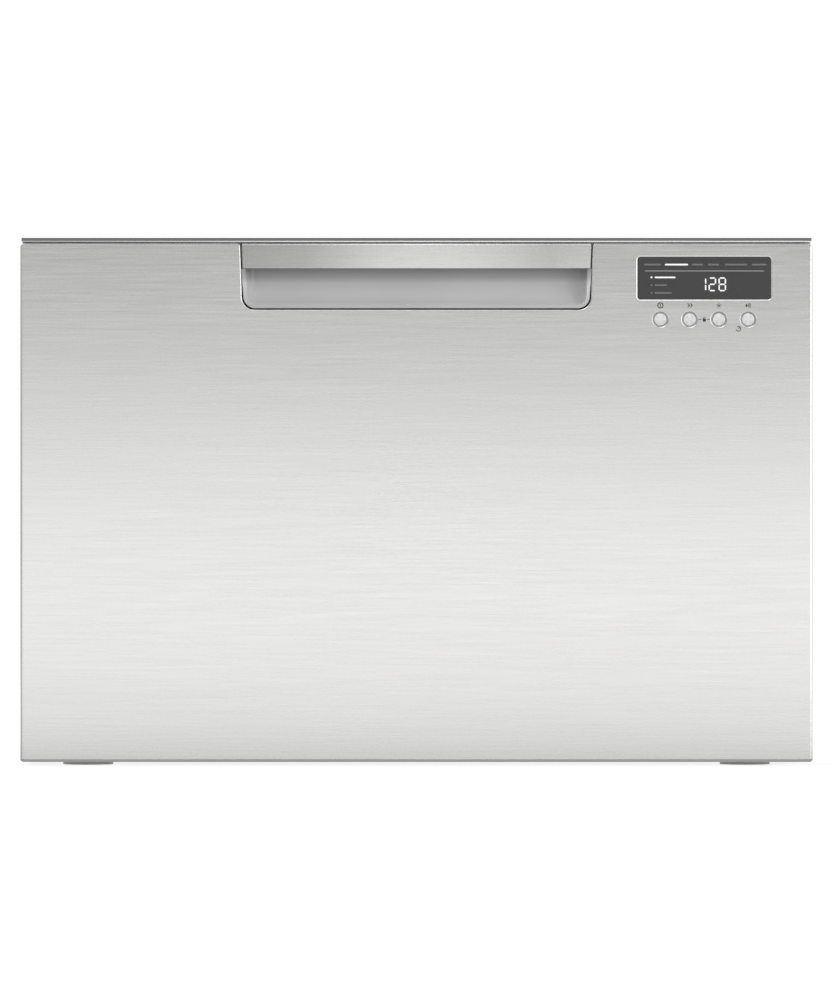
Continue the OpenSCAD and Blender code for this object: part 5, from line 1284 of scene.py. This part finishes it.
def pressed(outline, ribs, holes, low, high, axis):
    """A sheet from low to high along an axis, with ribs pressed out past high, and holes.

    A rib is its (middle a, middle b, width, height).
    """
    draw, corner = 2.5 * MM, 7 * MM
    bm = bmesh.new()
    for place in (low, high):
        rib_paths = []
        for a, b, width, height in ribs:
            foot = rounded_rect((a, b), width, height, corner)
            crest = rounded_rect((a, b), width - 2 * draw, height - 2 * draw, corner - draw)
            made = loft(bm, [[across(axis, place, *p) for p in foot],
                             [across(axis, place + RIB_LIFT, *p) for p in crest]])
            bmesh.ops.edgeloop_fill(bm, edges=made[-1])
            rib_paths += made[0]
        filled(bm, loops(bm, [outline] + holes, axis, place) + rib_paths, axis)
    for path in [outline] + holes:
        loft(bm, [[across(axis, place, *p) for p in path] for place in (low, high)])
    return bm


def side_skin(side):
    """A chassis side with its three pressed ribs, the fold round the opening and its fixing holes."""
    inner = CHASSIS_HALF - WALL
    rear = cad_high.y
    ribs = [(y * MM, 260 * MM, 60 * MM, 192 * MM) for y in (-150, -20, 110)]
    outline = rounded_rect(((CHASSIS_FRONT + rear) / 2, (CHASSIS_FOOT + CHASSIS_TOP) / 2),
                           rear - CHASSIS_FRONT,
                           CHASSIS_TOP - CHASSIS_FOOT, 1.5 * MM, steps=3)
    holes = [circle((-242 * MM, z * MM), 2.3 * MM, 20) for z in (190, 340)]
    sheet = pressed(outline, ribs, holes, inner, CHASSIS_HALF, 0)
    folds = [block((CHASSIS_HALF - 12 * MM, CHASSIS_FRONT, z0 * MM),
                   (CHASSIS_HALF, CHASSIS_FRONT + WALL, z1 * MM),
                   axis=2, corner=0.45 * MM, steps=2) for z0, z1 in ((8, 76), (134, 396))]
    skin = joined(sheet, *folds)
    name = "right" if side > 0 else "left"
    return piece(skin if side > 0 else mirrored(skin), "side_skin_" + name, "chassis", "galvanised",
                 ["side_panel_" + name])


def top_skin():
    """The chassis top with two pressed fields and its folded edges."""
    low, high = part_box("top_cover")
    outline = rounded_rect((0, (low.y + high.y) / 2), high.x - low.x, high.y - low.y, 1.5 * MM, steps=3)
    fields = [(side * 140 * MM, -10 * MM, 200 * MM, 360 * MM) for side in (-1, 1)]
    sheet = pressed(outline, fields, [], CHASSIS_TOP - WALL, CHASSIS_TOP, 2)
    fold = CHASSIS_TOP - 10 * MM
    edges = [block((side * high.x - (WALL if side > 0 else 0), low.y + 1.2 * MM, fold),
                   (side * high.x + (0 if side > 0 else WALL), high.y, CHASSIS_TOP), axis=1, corner=0.4 * MM,
                   steps=2)
             for side in (-1, 1)]
    edges.append(block((low.x, high.y - WALL, fold), (high.x, high.y, CHASSIS_TOP), axis=0, corner=0.4 * MM,
                       steps=2))
    edges.append(block((-285.5 * MM, low.y, low.z), (285.5 * MM, low.y + WALL, CHASSIS_TOP), axis=0,
                       corner=0.4 * MM, steps=2))
    return piece(joined(sheet, *edges), "top_skin", "chassis", "galvanised", ["top_cover"])


def back_skin():
    """The rear panel, with its vents and the holes of the connections."""
    low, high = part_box("back_panel")
    outline = rounded_rect((0, (low.z + high.z) / 2), high.x - low.x, high.z - low.z, 1.5 * MM, steps=3)
    service_z = 58 * MM
    holes = [circle((x * MM, service_z), r * MM, 32) for x, r in ((-105, 13.5), (-215, 10.3), (120, 9.3))]
    holes += [rounded_rect(((i - 4) * 12 * MM, 300 * MM), 4 * MM, 60 * MM, 1.9 * MM, steps=3)
              for i in range(9)]
    sheet = pressed(outline, [], holes, BACK_Y - WALL, BACK_Y, 1)
    returns = [block((side * high.x - (WALL if side > 0 else 0), low.y, 34 * MM),
                     (side * high.x + (0 if side > 0 else WALL), BACK_Y - WALL, 384 * MM), axis=2,
                     corner=0.4 * MM, steps=2)
               for side in (-1, 1)]
    return piece(joined(sheet, *returns), "back_skin", "chassis", "galvanised", ["back_panel"])


def inlet_thread():
    """The ridges of the inlet's thread, behind the rear panel."""
    pitch, first, last = 1.8 * MM, BACK_Y + 3.2 * MM, 284 * MM
    root, crest = 13.25 * MM, 13.75 * MM
    profile = [(12.9 * MM, 0)]
    for k in range(int((last - first) / pitch)):
        profile += [(root, (k + 0.1) * pitch), (crest, (k + 0.4) * pitch), (crest, (k + 0.55) * pitch),
                    (root, (k + 0.9) * pitch)]
    profile += [(12.9 * MM, last - first), (12.9 * MM, 0)]
    return piece(turned(profile, (-105 * MM, first, 58 * MM), axis=1, steps=40), "inlet_thread", "chassis",
                 "white_plastic", sharp=25)


tub_shell()
spray_arm_shell()
wire_basket()
tine_rows()
for side in (-1, 1):
    shelf_wires(side)
    side_skin(side)
cutlery_cells()
bulb_seal()
lid_gasket()
ribbed_hose()
top_skin()
back_skin()
inlet_thread()

# ------------------------------------------------------------------ light, floor and camera


def bare_tree(owner):
    """The empty node tree of a new material or world."""
    owner.use_nodes = True
    owner.node_tree.nodes.clear()
    return owner.node_tree


def light_card(name, low, high, levels, axis=2):
    """A soft panel of light out of the camera's sight, whose level changes along an axis."""
    (x0, y0, z0), (x1, y1, z1) = low, high
    near, far = (y0, y1) if z0 == z1 else (y1, y0)
    bm = bmesh.new()
    bm.faces.new([bm.verts.new(c) for c in ((x0, y0, z0), (x1, near, z0), (x1, y1, z1), (x0, far, z1))])
    material = bpy.data.materials.new(name)
    tree = bare_tree(material)
    share = along_axis(tree, "XYZ"[axis], low[axis], high[axis])
    glow = node(tree, "Emission", ramp(tree, share, levels))
    node(tree, "OutputMaterial", glow.outputs["Emission"])
    card = mesh_object(bm, name, material)
    card.visible_camera = False
    card.visible_shadow = False
    card.visible_transmission = False
    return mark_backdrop(card)


def seen_share(tree):
    """1 for what the camera, metal and glass see, and 0 for what lights the object."""
    path = node(tree, "LightPath").outputs
    total = path["Is Camera Ray"]
    for ray in ("Is Glossy Ray", "Is Transmission Ray"):
        total = node(tree, "Math", total, path[ray], operation="MAXIMUM").outputs["Value"]
    return total


def soft_world(level):
    """White to the eye, and a plain soft level on the object."""
    world = bpy.data.worlds.new("room")
    tree = bare_tree(world)
    white = (1, 1, 1, 1)
    rooms = [node(tree, "Background", white, strength).outputs["Background"] for strength in (level, 1.0)]
    mix = node(tree, "MixShader", seen_share(tree), *rooms)
    node(tree, "OutputWorld", mix.outputs["Shader"])
    bpy.context.scene.world = world


def pale_floor(reach):
    """A pale floor that melts into the background and keeps the object's shadow."""
    bm = bmesh.new()
    bmesh.ops.create_grid(bm, x_segments=1, y_segments=1, size=reach)
    material = bpy.data.materials.new("floor_paint")
    tree = bare_tree(material)
    matt = node(tree, "BsdfDiffuse", (0.5, 0.5, 0.5, 1)).outputs["BSDF"]
    lift = node(tree, "Math", seen_share(tree), 0.72, operation="MULTIPLY").outputs["Value"]
    glow = node(tree, "Emission", Strength=lift).outputs["Emission"]
    node(tree, "OutputMaterial", node(tree, "AddShader", matt, glow).outputs["Shader"])
    floor = mesh_object(bm, "floor", material)
    floor.location.z = -0.2 * MM
    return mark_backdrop(floor)


def soft_lamp(name, place, target, size, power):
    """A broad soft lamp aimed at a point."""
    lamp = bpy.data.lights.new(name, "AREA")
    lamp.shape = "SQUARE"
    lamp.size = size
    lamp.energy = power
    made = shown(name, lamp)
    made.location = place
    made.rotation_euler = (Vector(target) - Vector(place)).to_track_quat("-Z", "Y").to_euler()
    return made


PIXEL = 0.7554 * MM          # the face's size per pixel of the picture's 1000 rows
PICTURE_ROWS = 1000
LENS_LENGTH, SENSOR = 300.0, 36.0


def long_camera():
    """A long lens straight on to the front, level with its middle."""
    camera = bpy.data.cameras.new("camera")
    camera.lens = LENS_LENGTH
    camera.sensor_width = SENSOR
    camera.clip_end = 100
    made = shown("camera", camera)
    reach = PIXEL * PICTURE_ROWS * LENS_LENGTH / SENSOR
    made.location = (0, FACE_Y - reach, (FRONT_FOOT + cad_high.z) / 2)
    made.rotation_euler = (math.radians(90), 0, 0)
    bpy.context.scene.camera = made


bpy.context.scene.view_settings.view_transform = "Standard"
soft_world(0.62)
pale_floor(40)
light_card("front_card", (-1.1, -1.6, 0.0), (1.1, -1.6, 1.6),
           [(0.0, 1.09), (0.08, 1.27), (0.125, 1.11), (0.18, 0.75), (0.24, 0.45), (0.32, 0.34), (0.6, 0.46),
            (1.0, 0.8)])
light_card("floor_card", (-1.1, -0.2, 0.0006), (1.1, -1.6, 0.0006),
           [(0.0, 0.34), (0.1, 0.4), (0.3, 0.7), (1.0, 0.85)], axis=1)
light_card("left_card", (-1.9, 1.2, 0.0), (-1.1, -1.6, 1.8), [(0.0, 0.5), (0.7, 0.5), (1.0, 0.4)], axis=1)
light_card("right_card", (1.9, 1.2, 0.0), (1.1, -1.6, 1.8),
           [(0.0, 0.85), (0.68, 0.9), (0.84, 2.5), (1.0, 2.5)], axis=1)
soft_lamp("top_lamp", (-0.5, -0.9, 2.2), (0, 0, 0.2), 1.6, 14)
long_camera()
